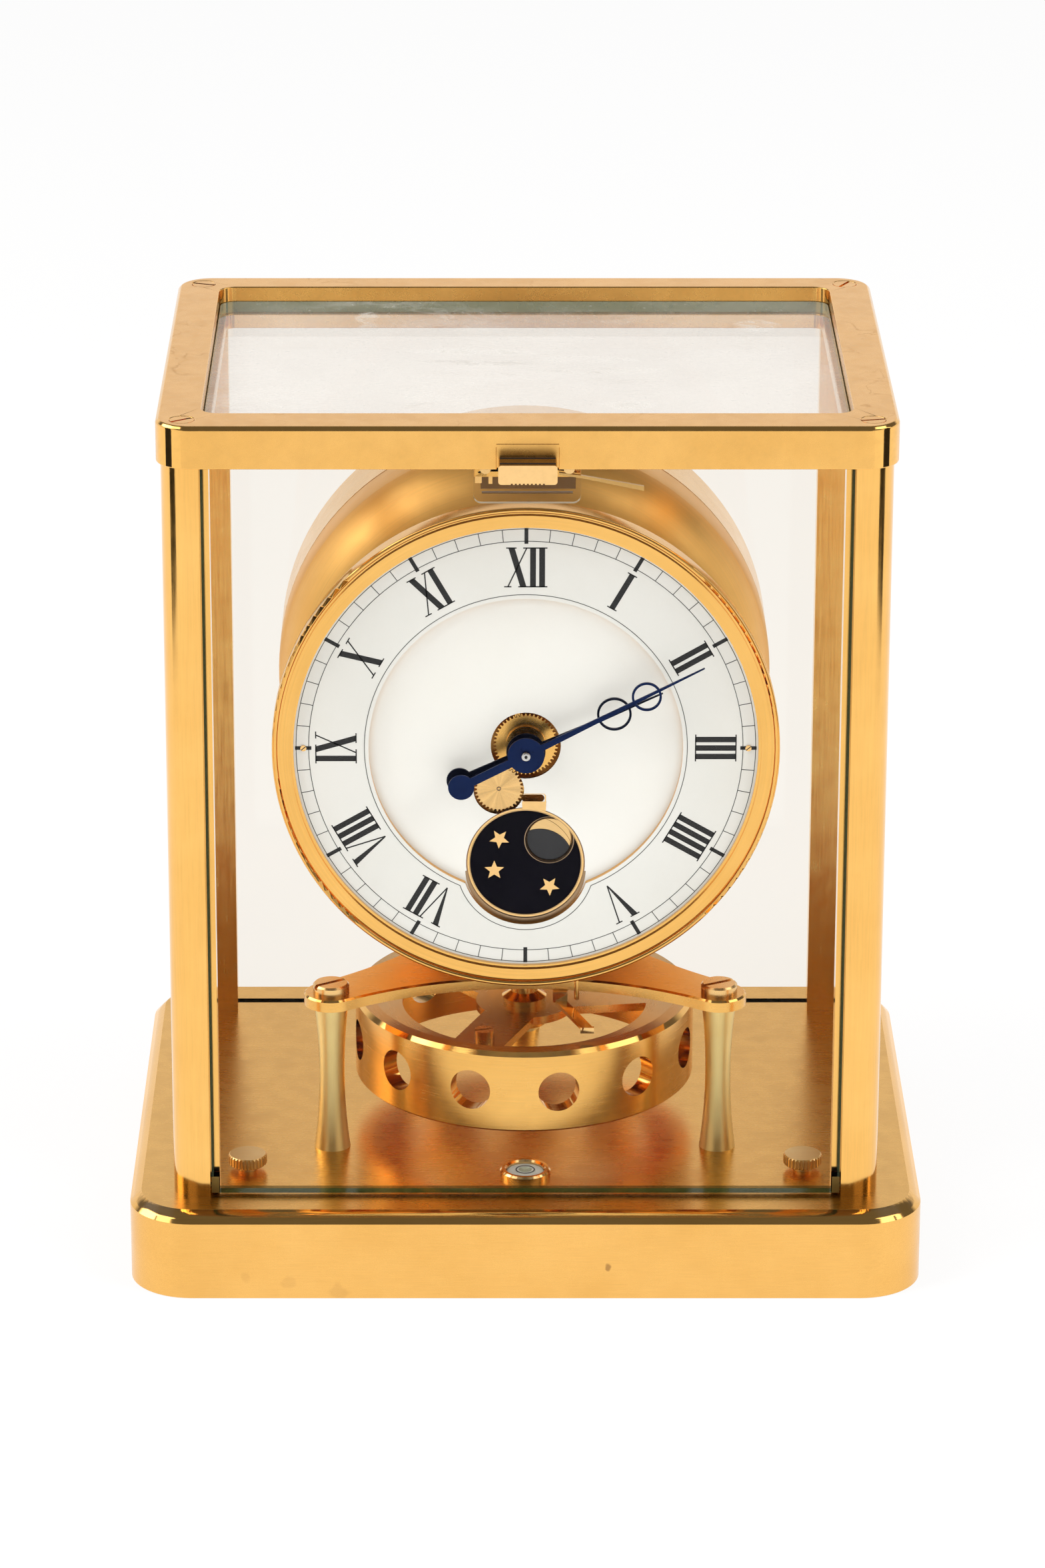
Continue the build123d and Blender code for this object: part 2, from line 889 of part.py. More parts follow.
def platform():
    """Plate with three waisted arms that end round the pillars."""
    left, right, rear = pillar_places().values()
    centroid = (0.0, (left[1] + right[1] + rear[1]) / 3)
    edges = [
        waisted_edge(left, right, platform_front_waist, centroid),
        waisted_edge(right, rear, platform_side_waist, centroid),
        waisted_edge(rear, left, platform_side_waist, centroid),
    ]
    outline = []
    for i, (place, edge) in enumerate(zip((right, rear, left), edges)):
        tip = polar(arm_end_radius, direction(centroid, place), place)
        outline.append(ThreePointArc(*edge))
        outline.append(ThreePointArc(edge[2], tip, edges[(i + 1) % len(edges)][0]))
    sketch = make_face(outline)
    body = Pos(0, 0, platform_underside) * extrude(sketch, amount=platform_thickness)
    body = chamfer(body.faces().sort_by(Axis.Z)[-1].edges(), platform_edge_chamfer)
    for x, y in pillar_places().values():
        body -= post_bar(platform_screw_radius + screw_fit, x, y, 0, case_height)
    body -= post_bar(tube_hole_radius, 0, pendulum_y, 0, case_height)
    body -= post_bar(lever_screw_radius + screw_fit, lever_pivot_x, lever_pivot_y, 0, platform_top)
    pin_y = left[1] + stop_pin_inset
    pin_low = platform_underside - stop_pin_length
    return body + post_bar(stop_pin_radius, stop_pin_x, pin_y, pin_low, platform_top)


def pillar(name):
    """Waisted pillar between the base and the platform."""
    x, y = pillar_places()[name]
    waist_z = base_height + pillar_waist_height
    bottom = (pillar_foot_radius, base_height)
    top = (pillar_top_radius, platform_underside)
    side = ThreePointArc(
        (bottom[0], 0, bottom[1]), (pillar_waist_radius, 0, waist_z), (top[0], 0, top[1])
    )
    cap = Polyline((top[0], 0, top[1]), (0, 0, top[1]), (0, 0, bottom[1]), (bottom[0], 0, bottom[1]))
    body = Pos(x, y, 0) * revolve(make_face([side, cap]), Axis.Z)
    hole_low = platform_top - platform_screw_length
    return body - post_bar(platform_screw_radius + screw_fit, x, y, hole_low, case_height)


def platform_screws():
    screws = []
    turns = {"left": 33.0, "right": 28.0, "rear": 75.0}
    for name, (x, y) in pillar_places().items():
        head_top = platform_top + platform_screw_head_height
        shank_low = platform_top - platform_screw_length + screw_fit
        shank = post_bar(platform_screw_radius, x, y, shank_low, platform_top)
        head = post_bar(platform_screw_head_radius, x, y, platform_top, head_top)
        head = chamfer(head.faces().sort_by(Axis.Z)[-1].edges(), platform_edge_chamfer)
        screws.append(
            slotted(
                head + shank, x, y, head_top, platform_screw_head_radius,
                platform_slot_width, platform_slot_depth, turns[name],
            )
        )
    return Compound(children=screws)


# Pendulum, suspension and lock


def ring_top():
    return ring_bottom + ring_height


def web_top():
    return ring_top() - web_drop


def collar_low():
    return platform_underside - collar_gap - collar_height


def hub_top():
    """Top of the hub, just under the collar in its lowest place."""
    return collar_low() - collar_lift - hub_gap


def web_windows():
    """Three rounded windows between the spokes."""
    ring = Circle(window_outer_radius) - Circle(window_inner_radius)
    for i in range(spoke_count):
        angle = spoke_angle + i * 360 / spoke_count
        bar = Pos(window_outer_radius / 2, 0) * Rectangle(window_outer_radius, spoke_width)
        ring -= Rot(0, 0, angle) * bar
        ring -= Rot(0, 0, angle) * Pos(window_outer_radius, 0) * Rectangle(overrun, spoke_width)
    return [fillet(face.vertices(), window_corner_radius) for face in ring.faces()]


def pendulum_ring():
    """Ring with a thin web and hub, and a row of round holes through its wall."""
    inner = ring_radius - ring_wall
    top = ring_top()
    web_low = web_top() - web_thickness
    bore = wire_radius + running_fit
    points = [
        (bore, web_low - hub_below),
        (hub_radius, web_low - hub_below),
        (hub_radius, web_low),
        (inner, web_low),
        (inner, ring_bottom),
        (ring_radius - ring_chamfer / 2, ring_bottom),
        (ring_radius, ring_bottom + ring_chamfer / 2),
        (ring_radius, top - ring_chamfer),
        (ring_radius - ring_chamfer, top),
        (inner, top),
        (inner, web_top()),
        (hub_radius, web_top()),
        (hub_radius, web_top() + hub_collar_height),
        (hub_neck_radius, web_top() + 2 * hub_collar_height),
        (hub_neck_radius, hub_top()),
        (bore, hub_top()),
    ]
    body = turned_on_z(points, 0, pendulum_y)
    for window in web_windows():
        body -= Pos(0, pendulum_y, web_low) * extrude(window, amount=web_thickness)
    middle = ring_bottom + ring_height / 2
    for i in range(ring_hole_count):
        angle = ring_hole_angle + i * 360 / ring_hole_count
        drill = Pos(ring_radius - ring_wall / 2, 0, 0) * Rot(0, 90, 0)
        drill = drill * Cylinder(ring_hole_radius, ring_wall + 2 * overrun)
        body -= Pos(0, pendulum_y, middle) * Rot(0, 0, angle) * drill
    x, y = index_pin_place()
    return body - post_bar(index_pin_radius / 2, x, y, web_low, web_top())


def index_pin_place():
    return polar(index_pin_seat, index_pin_angle, (0, pendulum_y))


def pendulum_pin():
    """Slotted pin that stands on the web."""
    x, y = index_pin_place()
    top = web_top() + index_pin_height
    pin = post_bar(index_pin_radius, x, y, web_top(), top)
    pin += post_bar(index_pin_radius / 2, x, y, web_top() - web_thickness, web_top())
    return slotted(
        pin, x, y, top, index_pin_radius, index_slot_width, index_slot_width, lever_swing
    )


def torsion_wire():
    low = web_top() - web_thickness - hub_below
    return post_bar(wire_radius, 0, pendulum_y, low, cock_low() + cock_height)


def cock_low():
    return dial_height + cock_rise


def suspension_bracket():
    """Bracket on the back plate with the tube that shields the torsion wire."""
    half = cock_width / 2
    y_low = back_plate_face + plate_thickness
    body = block(-half, half, y_low, y_low + cock_depth, cock_low(), cock_low() + cock_height)
    body += post_bar(tube_radius, 0, pendulum_y, hub_top() + hub_gap, cock_low())
    body -= post_bar(tube_bore, 0, pendulum_y, 0, cock_low())
    return body - post_bar(wire_radius, 0, pendulum_y, 0, case_height)


def lock_collar():
    """Collar round the tube that comes down on the hub to lock the pendulum."""
    body = post_bar(collar_radius, 0, pendulum_y, collar_low(), collar_low() + collar_height)
    return body - post_bar(tube_radius + running_fit, 0, pendulum_y, 0, case_height)


def lock_lever():
    """Bent strip that swings under the platform and ends in a finger tab."""
    top = platform_underside - running_fit
    half = lever_width / 2
    front = lever_pivot_y - lever_length
    arm = block(
        lever_pivot_x - half, lever_pivot_x + half, front, lever_pivot_y + half,
        top - lever_thickness, top,
    )
    nose = block(
        lever_pivot_x - half, lever_pivot_x + half, front - lever_nose_depth, front,
        top - lever_nose_height, top,
    )
    start = Vector(lever_pivot_x, front - lever_nose_depth / 2, top - lever_nose_height)
    end = start + Vector(lever_tip_shift, -lever_reach, -lever_fall)
    run = end - start
    section = Plane(origin=start, x_dir=(-run.Y, run.X, 0), z_dir=run)
    strip = extrude(section * Rectangle(lever_strip_width, lever_thickness), amount=run.length)
    tab = Pos(end.X, end.Y, end.Z - lever_tip_height / 2 + lever_thickness / 2) * Box(
        lever_tip_width, lever_thickness, lever_tip_height
    )
    hole = lever_screw_radius + running_fit
    body = arm + nose + strip + tab
    return body - post_bar(hole, lever_pivot_x, lever_pivot_y, 0, case_height)


def lever_screw():
    seat = platform_underside - running_fit - lever_thickness - running_fit
    shank = post_bar(lever_screw_radius, lever_pivot_x, lever_pivot_y, seat, platform_top)
    head = post_bar(
        lever_screw_head_radius, lever_pivot_x, lever_pivot_y, seat - lever_screw_head_height, seat
    )
    return shank + head


# Dial


def bezel():
    """Turned ring with a round bead, a groove, a flat band and an inner step."""
    half = bezel_bead / 2
    bead_in = bezel_radius - bezel_bead
    groove_in = bead_in - bezel_groove
    bead_edge = bezel_front + half
    groove_floor = bezel_front + bezel_groove_depth
    band_face = bezel_front + bezel_band_drop
    band_in = bezel_opening + bezel_step
    skirt = bezel_radius - bezel_step
    arc = ThreePointArc(
        (bezel_radius, bead_edge, 0), (bezel_radius - half, bezel_front, 0), (bead_in, bead_edge, 0)
    )
    line = Polyline(
        (bead_in, bead_edge, 0),
        (bead_in, groove_floor, 0),
        (groove_in, groove_floor, 0),
        (groove_in, band_face, 0),
        (band_in, band_face, 0),
        (band_in, band_face + bezel_step, 0),
        (bezel_opening, band_face + bezel_step, 0),
        (bezel_opening, chapter_face, 0),
        (bezel_seat_radius, chapter_face, 0),
        (bezel_seat_radius, bezel_back, 0),
        (skirt, bezel_back, 0),
        (skirt, bezel_back - bezel_skirt, 0),
        (bezel_radius, bezel_back - bezel_skirt, 0),
        (bezel_radius, bead_edge, 0),
    )
    return Pos(0, 0, dial_height) * revolve(make_face([arc, line]), Axis.Y)


def chapter_ring():
    """Hour ring, open in the middle and round the moon dial."""
    sketch = Circle(bezel_seat_radius - plate_edge_gap) - Circle(chapter_opening)
    sketch -= Pos(0, -moon_drop) * Circle(moon_opening_radius)
    body = slab(sketch, dial_centre, chapter_face, chapter_face + chapter_thickness)
    return body - dial_screw_shanks(screw_fit)


def inner_dial_face():
    return chapter_face + chapter_thickness


def idler_offset():
    distance = (hour_teeth + idler_teeth) / 2 * hour_module
    return polar(distance, idler_angle)


def inner_dial():
    """Recessed dial plate with openings for the wheels and the moon dial."""
    sketch = Circle(bezel_seat_radius - plate_edge_gap)
    sketch -= Circle(centre_opening_radius)
    sketch -= Pos(*idler_offset()) * Circle(idler_opening_radius)
    sketch -= Pos(stadium_x, stadium_z) * SlotOverall(stadium_length, stadium_width)
    sketch -= Pos(0, -moon_drop) * Circle(sky_radius + plate_edge_gap)
    front = inner_dial_face()
    back = front + inner_dial_thickness
    body = slab(sketch, dial_centre, front, back)
    for angle in dial_foot_angles:
        place = polar(dial_pillar_seat, angle, dial_centre)
        body += rod(dial_pillar_radius, place, back, front_plate_face)
    return body - dial_screw_shanks(screw_fit)


def dial_screw_shanks(clearance):
    back = inner_dial_face() + inner_dial_thickness
    shanks = [
        rod(dial_screw_radius / 2 + clearance, (side * dial_screw_seat, dial_height), chapter_face, back)
        for side in (-1, 1)
    ]
    return Compound(children=shanks)


def dial_screws():
    screws = []
    for side, shank in zip((-1, 1), dial_screw_shanks(0).solids()):
        place = (side * dial_screw_seat, dial_height)
        head = rod(dial_screw_radius, place, chapter_face - dial_screw_height, chapter_face)
        screws.append(head + shank)
    return Compound(children=screws)


def sky_face():
    return chapter_face + sky_setback


def window_place():
    return (moon_centre[0] + window_offset_x, moon_centre[1] + window_offset_z)


def sky_plate():
    """Sky with a round window, on three feet that stand on the front plate."""
    body = rod(sky_radius, moon_centre, sky_face(), sky_face() + sky_thickness)
    body -= rod(window_radius, window_place(), sky_face() - overrun, sky_face() + overrun)
    for angle in sky_foot_angles:
        place = polar(sky_radius - sky_foot_inset, angle, moon_centre)
        body += rod(dial_screw_radius, place, sky_face() + sky_thickness, front_plate_face)
    return body


def sky_rim():
    """Gold rim round the sky."""
    front = sky_face() - sky_rim_height
    sketch = Circle(sky_radius) - Circle(sky_radius - sky_rim_width)
    return slab(sketch, moon_centre, front, sky_face())


def sky_stars():
    stars = []
    for share_x, share_z in star_places_shares:
        centre = (moon_centre[0] + share_x * sky_radius, moon_centre[1] + share_z * sky_radius)
        points = []
        for i in range(2 * star_points):
            radius = star_radius if i % 2 == 0 else star_radius * star_waist_share
            points.append(polar(radius, 90 + i * 180 / star_points))
        star = make_face(Polyline(*points, close=True))
        stars.append(slab(star, centre, sky_face() - star_thickness, sky_face()))
    return Compound(children=stars)


# Gears


def gear_outline(teeth, module, phase):
    """Straight-flanked gear outline with one tooth centred at the phase angle."""
    pitch_radius = teeth * module / 2
    tip = pitch_radius + addendum_share * module
    root = pitch_radius - dedendum_share * module
    step = 360 / teeth
    points = []
    for i in range(teeth):
        centre = phase + i * step
        points.append(polar(root, centre - step * tooth_root_share / 2))
        points.append(polar(tip, centre - step * tooth_tip_share / 2))
        points.append(polar(tip, centre + step * tooth_tip_share / 2))
        points.append(polar(root, centre + step * tooth_root_share / 2))
    return make_face(Polyline(*points, close=True))


def meshed_phase(phase, teeth, other_teeth, direction):
    """Phase of a gear that meshes with another lying in the given direction from it."""
    offset = phase - direction
    return direction + 180 - 180 / other_teeth - offset * teeth / other_teeth


def gear(teeth, module, phase, centre, y_front, thickness):
    return slab(gear_outline(teeth, module, phase), centre, y_front, y_front + thickness)


def shifted(offset):
    return (dial_centre[0] + offset[0], dial_centre[1] + offset[1])


def third_centre():
    """Centre that meshes with both the idler pinion and the moon wheel."""
    a = shifted(idler_offset())
    b = moon_centre
    reach_a = (idler_pinion_teeth + third_teeth) / 2 * moon_module
    reach_b = (third_pinion_teeth + moon_teeth) / 2 * moon_module
    span = math.dist(a, b)
    along = (reach_a ** 2 - reach_b ** 2 + span ** 2) / (2 * span)
    across = math.sqrt(reach_a ** 2 - along ** 2)
    ux = (b[0] - a[0]) / span
    uz = (b[1] - a[1]) / span
    return (a[0] + along * ux - across * uz, a[1] + along * uz + across * ux)


# Depths of the wheels between the dial and the front plate
hour_wheel_y = chapter_face + sky_setback + sky_thickness + wheel_clearance
motion_wheel_y = hour_wheel_y + wheel_thickness + axial_gap + pinion_thickness
idler_pinion_y = hour_wheel_y + 2 * wheel_thickness + axial_gap
moon_wheel_y = idler_pinion_y + pinion_thickness + axial_gap

minute_wheel_centre = shifted(
    polar((minute_pinion_teeth + hour_teeth) / 2 * hour_module, minute_wheel_angle)
)
idler_centre = shifted(idler_offset())
barrel_centre = shifted(
    polar((centre_pinion_teeth + barrel_teeth) / 2 * train_module, barrel_angle)
)
escape_centre = shifted(
    polar((centre_teeth + escape_pinion_teeth) / 2 * train_module, escape_angle)
)
pallet_centre = (escape_centre[0], escape_centre[1] - pallet_drop)

# Phases: the hour wheel and the cannon pinion start with a tooth pointing up
hour_phase = 90.0
cannon_phase = 90.0
minute_pinion_phase = meshed_phase(
    hour_phase, hour_teeth, minute_pinion_teeth, minute_wheel_angle
)
minute_wheel_phase = meshed_phase(
    cannon_phase, cannon_teeth, minute_wheel_teeth, minute_wheel_angle
)
idler_phase = meshed_phase(hour_phase, hour_teeth, idler_teeth, idler_angle)


def cannon_pinion():
    """Pinion on the minute arbor, with the pipe that carries the minute hand."""
    body = gear(
        cannon_teeth, minute_module, cannon_phase, dial_centre, motion_wheel_y, pinion_thickness
    )
    pipe = rod(hand_pipe_radius / 2, dial_centre, minute_hand_y(), motion_wheel_y)
    return body + pipe - rod(arbor_radius, dial_centre, minute_hand_y() - overrun, 0)


def minute_wheel():
    """Wheel driven by the cannon pinion, with the pinion that drives the hour wheel."""
    centre = minute_wheel_centre
    wheel = gear(
        minute_wheel_teeth, minute_module, minute_wheel_phase, centre,
        motion_wheel_y + (pinion_thickness - wheel_thickness) / 2, wheel_thickness,
    )
    pinion_back = motion_wheel_y + (pinion_thickness - wheel_thickness) / 2
    pinion = slab(
        gear_outline(minute_pinion_teeth, hour_module, minute_pinion_phase),
        centre, hour_wheel_y, pinion_back,
    )
    arbor = rod(arbor_radius, centre, pinion_back, front_plate_face + plate_thickness)
    return wheel + pinion + arbor


def hour_wheel():
    """Hour wheel with a stepped pipe that carries the hour hand."""
    wheel = gear(hour_teeth, hour_module, hour_phase, dial_centre, hour_wheel_y, wheel_thickness)
    boss = rod(hour_hub_radius, dial_centre, hour_wheel_y - wheel_thickness, hour_wheel_y)
    pipe = rod(hand_pipe_radius, dial_centre, hour_hand_face, hour_wheel_y)
    bore = rod(
        hand_pipe_radius / 2 + running_fit, dial_centre, hour_hand_face - overrun, front_plate_face
    )
    return wheel + boss + pipe - bore


def moon_idler():
    """Visible wheel beside the hour wheel, with the first pinion of the moon train."""
    wheel = gear(idler_teeth, hour_module, idler_phase, idler_centre, hour_wheel_y, wheel_thickness)
    pinion = slab(
        gear_outline(idler_pinion_teeth, moon_module, idler_pinion_phase()),
        idler_centre, hour_wheel_y + wheel_thickness, idler_pinion_y + pinion_thickness,
    )
    arbor = rod(
        arbor_radius / 2, idler_centre, idler_pinion_y, front_plate_face + plate_thickness
    )
    return wheel + pinion + arbor


def idler_pinion_phase():
    return direction(idler_centre, third_centre())


def moon_third_wheel():
    centre = third_centre()
    phase = meshed_phase(
        idler_pinion_phase(), idler_pinion_teeth, third_teeth, direction(idler_centre, centre)
    )
    y = idler_pinion_y + (pinion_thickness - wheel_thickness) / 2
    wheel = gear(third_teeth, moon_module, phase, centre, y, wheel_thickness)
    pinion = slab(
        gear_outline(third_pinion_teeth, moon_module, direction(centre, moon_centre)),
        centre, y + wheel_thickness, moon_wheel_y + pinion_thickness,
    )
    arbor = rod(arbor_radius / 2, centre, y + wheel_thickness, front_plate_face + plate_thickness)
    return wheel + pinion + arbor


def moon_wheel():
    """Last wheel of the moon train, on the arbor of the moon disc."""
    centre = third_centre()
    towards = direction(centre, moon_centre)
    phase = meshed_phase(towards, third_pinion_teeth, moon_teeth, towards)
    wheel = gear(moon_teeth, moon_module, phase, moon_centre, moon_wheel_y, wheel_thickness)
    arbor = rod(
        arbor_radius, moon_centre, moon_disc_y() + moon_disc_thickness,
        front_plate_face + plate_thickness,
    )
    return wheel + arbor


def moon_disc_y():
    return sky_face() + sky_thickness + moon_disc_gap


def moon_disc():
    radius = sky_radius - moon_disc_margin
    return rod(radius, moon_centre, moon_disc_y(), moon_disc_y() + moon_disc_thickness)


def moon_mask():
    """Dark round inlay on the moon disc that covers the moon in the window."""
    offset = math.hypot(window_offset_x, window_offset_z)
    place = polar(offset, moon_mask_angle, moon_centre)
    radius = sky_radius - moon_disc_margin
    mask = rod(moon_mask_radius, place, moon_disc_y() - moon_mask_thickness, moon_disc_y())
    return mask & rod(radius, moon_centre, moon_disc_y() - moon_mask_thickness, moon_disc_y())


# Movement


def plate(y):
    """Movement plate: a disc on a leg that stands on the platform."""
    leg_height = dial_height - platform_top
    sketch = Circle(plate_radius)
    sketch += Pos(0, -leg_height / 2) * Rectangle(plate_leg_width, leg_height)
    for angle in (0, 90, 180):
        sketch -= Pos(*polar(plate_window_seat, angle)) * Circle(plate_window_radius)
    body = slab(sketch, dial_centre, y, y + plate_thickness)
    for i in range(plate_pillar_count):
        body -= rod(plate_pillar_radius / 2 + screw_fit, plate_pillar_place(i), y - overrun,
                    y + plate_thickness + overrun)
    return body


def plate_pillar_place(i):
    angle = plate_pillar_angle + i * 360 / plate_pillar_count
    return polar(plate_pillar_seat, angle, dial_centre)


def arbor_hole(centre, radius, y):
    return rod(radius + running_fit, centre, y - overrun, y + plate_thickness + overrun)


def movement_front_plate():
    body = plate(front_plate_face)
    holes = [
        (dial_centre, arbor_radius),
        (minute_wheel_centre, arbor_radius),
        (idler_centre, arbor_radius / 2),
        (third_centre(), arbor_radius / 2),
        (moon_centre, arbor_radius),
        (barrel_centre, arbor_radius),
        (escape_centre, arbor_radius),
        (pallet_centre, arbor_radius),
    ]
    for centre, radius in holes:
        body -= arbor_hole(centre, radius, front_plate_face)
    return body


def movement_back_plate():
    body = plate(back_plate_face)
    for centre in (dial_centre, barrel_centre, escape_centre, pallet_centre):
        body -= arbor_hole(centre, arbor_radius, back_plate_face)
    return body


def plate_pillars():
    pillars = []
    for i in range(plate_pillar_count):
        place = plate_pillar_place(i)
        body = rod(plate_pillar_radius, place, front_plate_face + plate_thickness, back_plate_face)
        body += rod(
            plate_pillar_radius / 2, place, front_plate_face, back_plate_face + plate_thickness
        )
        pillars.append(body)
    return Compound(children=pillars)


train_y = front_plate_face + plate_thickness + axial_gap
train_back = back_plate_face - axial_gap
centre_wheel_y = train_back - wheel_thickness
centre_phase = 90.0


def train_arbor(centre):
    return rod(arbor_radius, centre, front_plate_face, back_plate_face + plate_thickness)


def centre_wheel():
    """Centre arbor with its wheel and pinion, out to the minute hand."""
    wheel = gear(centre_teeth, train_module, centre_phase, dial_centre, centre_wheel_y, wheel_thickness)
    pinion = gear(
        centre_pinion_teeth, train_module, barrel_angle, dial_centre, train_y, pinion_thickness
    )
    front = minute_hand_y()
    arbor = rod(arbor_radius, dial_centre, front, back_plate_face + plate_thickness)
    tip = rod(centre_pin_radius, dial_centre, front - centre_pin_height, front)
    return wheel + pinion + arbor + tip


def escape_wheel():
    """Escape wheel with pointed teeth and its pinion."""
    step = 360 / escape_teeth
    points = []
    for i in range(escape_teeth):
        points.append(polar(escape_wheel_radius - escape_tooth_depth, i * step - step / 2))
        points.append(polar(escape_wheel_radius, i * step))
        points.append(
            polar(escape_wheel_radius - escape_tooth_depth, i * step + step * escape_tooth_lean_share)
        )
    wheel = slab(
        make_face(Polyline(*points, close=True)), escape_centre, train_y, train_y + wheel_thickness
    )
    phase = meshed_phase(centre_phase, centre_teeth, escape_pinion_teeth, escape_angle)
    pinion = gear(
        escape_pinion_teeth, train_module, phase, escape_centre,
        train_back - pinion_thickness, pinion_thickness,
    )
    return wheel + pinion + train_arbor(escape_centre)


def pallet_fork():
    """Anchor with two pallets that straddle the escape wheel."""
    beam = Pos(0, pallet_width) * Rectangle(pallet_span, pallet_width)
    for side in (-1, 1):
        beam += Pos(side * (pallet_span - pallet_width) / 2, pallet_width * 2) * Rectangle(
            pallet_width, pallet_width
        )
    beam += Circle(pallet_width)
    stem = Pos(0, -pallet_reach / 2) * Rectangle(pallet_width / 2, pallet_reach)
    body = slab(beam + stem, pallet_centre, train_y, train_y + wheel_thickness)
    return body + train_arbor(pallet_centre)


def barrel():
    """Mainspring barrel with its toothed rim."""
    phase = meshed_phase(barrel_angle, centre_pinion_teeth, barrel_teeth, barrel_angle)
    y = train_y + (pinion_thickness - wheel_thickness) / 2
    wheel = gear(barrel_teeth, train_module, phase, barrel_centre, y, wheel_thickness)
    drum = rod(barrel_drum_radius, barrel_centre, y, centre_wheel_y - axial_gap)
    return wheel + drum + train_arbor(barrel_centre)


# Hands


def minute_hand_y():
    return hour_hand_face - hand_gap - hand_thickness


def hand_outline(length, ring_seat, ring_radius, hub):
    """Hand that points along +X: hub, tapering bar, open ring, tip and round tail."""
    half_root = hand_root_width / 2
    half_tip = hand_tip_width / 2
    bar = make_face(
        Polyline((0, -half_root), (length, -half_tip), (length, half_tip), (0, half_root), close=True)
    )
    ring = Circle(ring_radius) - Circle(ring_radius - hand_ring_line)
    tail = Pos(-hand_tail_length / 2, 0) * Rectangle(hand_tail_length, hand_tail_width)
    weight = Pos(-hand_tail_length, 0) * Circle(hand_tail_radius)
    return Circle(hub) + bar + Pos(ring_seat, 0) * ring + tail + weight


def hour_hand():
    outline = hand_outline(hour_hand_length, hour_ring_seat, hour_ring_radius, hour_hub_radius)
    outline -= Circle(hand_pipe_radius)
    turned = Rot(0, 0, 90 - hand_angle_hour) * outline
    return slab(turned, dial_centre, hour_hand_face, hour_hand_face + hand_thickness)


def minute_hand():
    outline = hand_outline(
        minute_hand_length, minute_ring_seat, minute_ring_radius, minute_hub_radius
    )
    outline -= Circle(hand_pipe_radius / 2)
    turned = Rot(0, 0, 90 - hand_angle_minute) * outline
    y = minute_hand_y()
    return slab(turned, dial_centre, y, y + hand_thickness)


# Drum and bellows


def drum_shell():
    """Front half of the drum, with a large round shoulder and its fixing studs."""
    shoulder = drum_radius - drum_shoulder_radius
    bend = drum_front + drum_shoulder_radius
    end = drum_seam - drum_seam_width / 2
    inner = drum_radius - drum_wall
    inner_bend = drum_shoulder_radius - drum_wall
    mid = polar(drum_shoulder_radius, -45, (shoulder, bend))
    inner_mid = polar(inner_bend, -45, (shoulder, bend))
    outline = [
        Line((0, drum_front, 0), (shoulder, drum_front, 0)),
        ThreePointArc((shoulder, drum_front, 0), (*mid, 0), (drum_radius, bend, 0)),
        Polyline((drum_radius, bend, 0), (drum_radius, end, 0), (inner, end, 0), (inner, bend, 0)),
        ThreePointArc((inner, bend, 0), (*inner_mid, 0), (shoulder, drum_front + drum_wall, 0)),
        Polyline((shoulder, drum_front + drum_wall, 0), (0, drum_front + drum_wall, 0),
                 (0, drum_front, 0)),
    ]
    body = Pos(0, 0, dial_height) * revolve(make_face(outline), Axis.Y)
    for i in range(drum_stud_count):
        angle = drum_stud_angle + i * 360 / drum_stud_count
        place = polar(drum_stud_seat, angle, dial_centre)
        body += rod(drum_stud_radius, place, back_plate_face + plate_thickness, drum_front)
    return body


def drum_cover():
    """Rear half of the drum, with a spigot inside the front half."""
    start = drum_seam + drum_seam_width / 2
    inner = drum_radius - drum_wall
    spigot = inner - drum_lap_clearance
    points = [
        (0, drum_rear),
        (0, drum_rear - drum_wall),
        (spigot - drum_wall, drum_rear - drum_wall),
        (spigot - drum_wall, drum_seam - drum_lap),
        (spigot, drum_seam - drum_lap),
        (spigot, start),
        (drum_radius, start),
        (drum_radius, drum_rear - drum_wall),
        (drum_radius - drum_wall, drum_rear),
    ]
    return turned_on_y(points, dial_centre)


def bellows_capsule():
    """Corrugated thin-walled gas capsule that rests on the drum cover."""
    back = drum_rear - drum_wall
    front = back - bellows_length
    pitch = bellows_length / (2 * bellows_folds)
    outer = [(bellows_waist_radius, front)]
    for i in range(bellows_folds):
        y = front + 2 * i * pitch
        outer.append((bellows_radius, y + pitch))
        outer.append((bellows_waist_radius, y + 2 * pitch))
    inner = [(r - bellows_wall, y) for r, y in reversed(outer)]
    inner[-1] = (bellows_waist_radius - bellows_wall, front + bellows_wall)
    return turned_on_y([(0, front), *outer, *inner, (0, front + bellows_wall)], dial_centre)


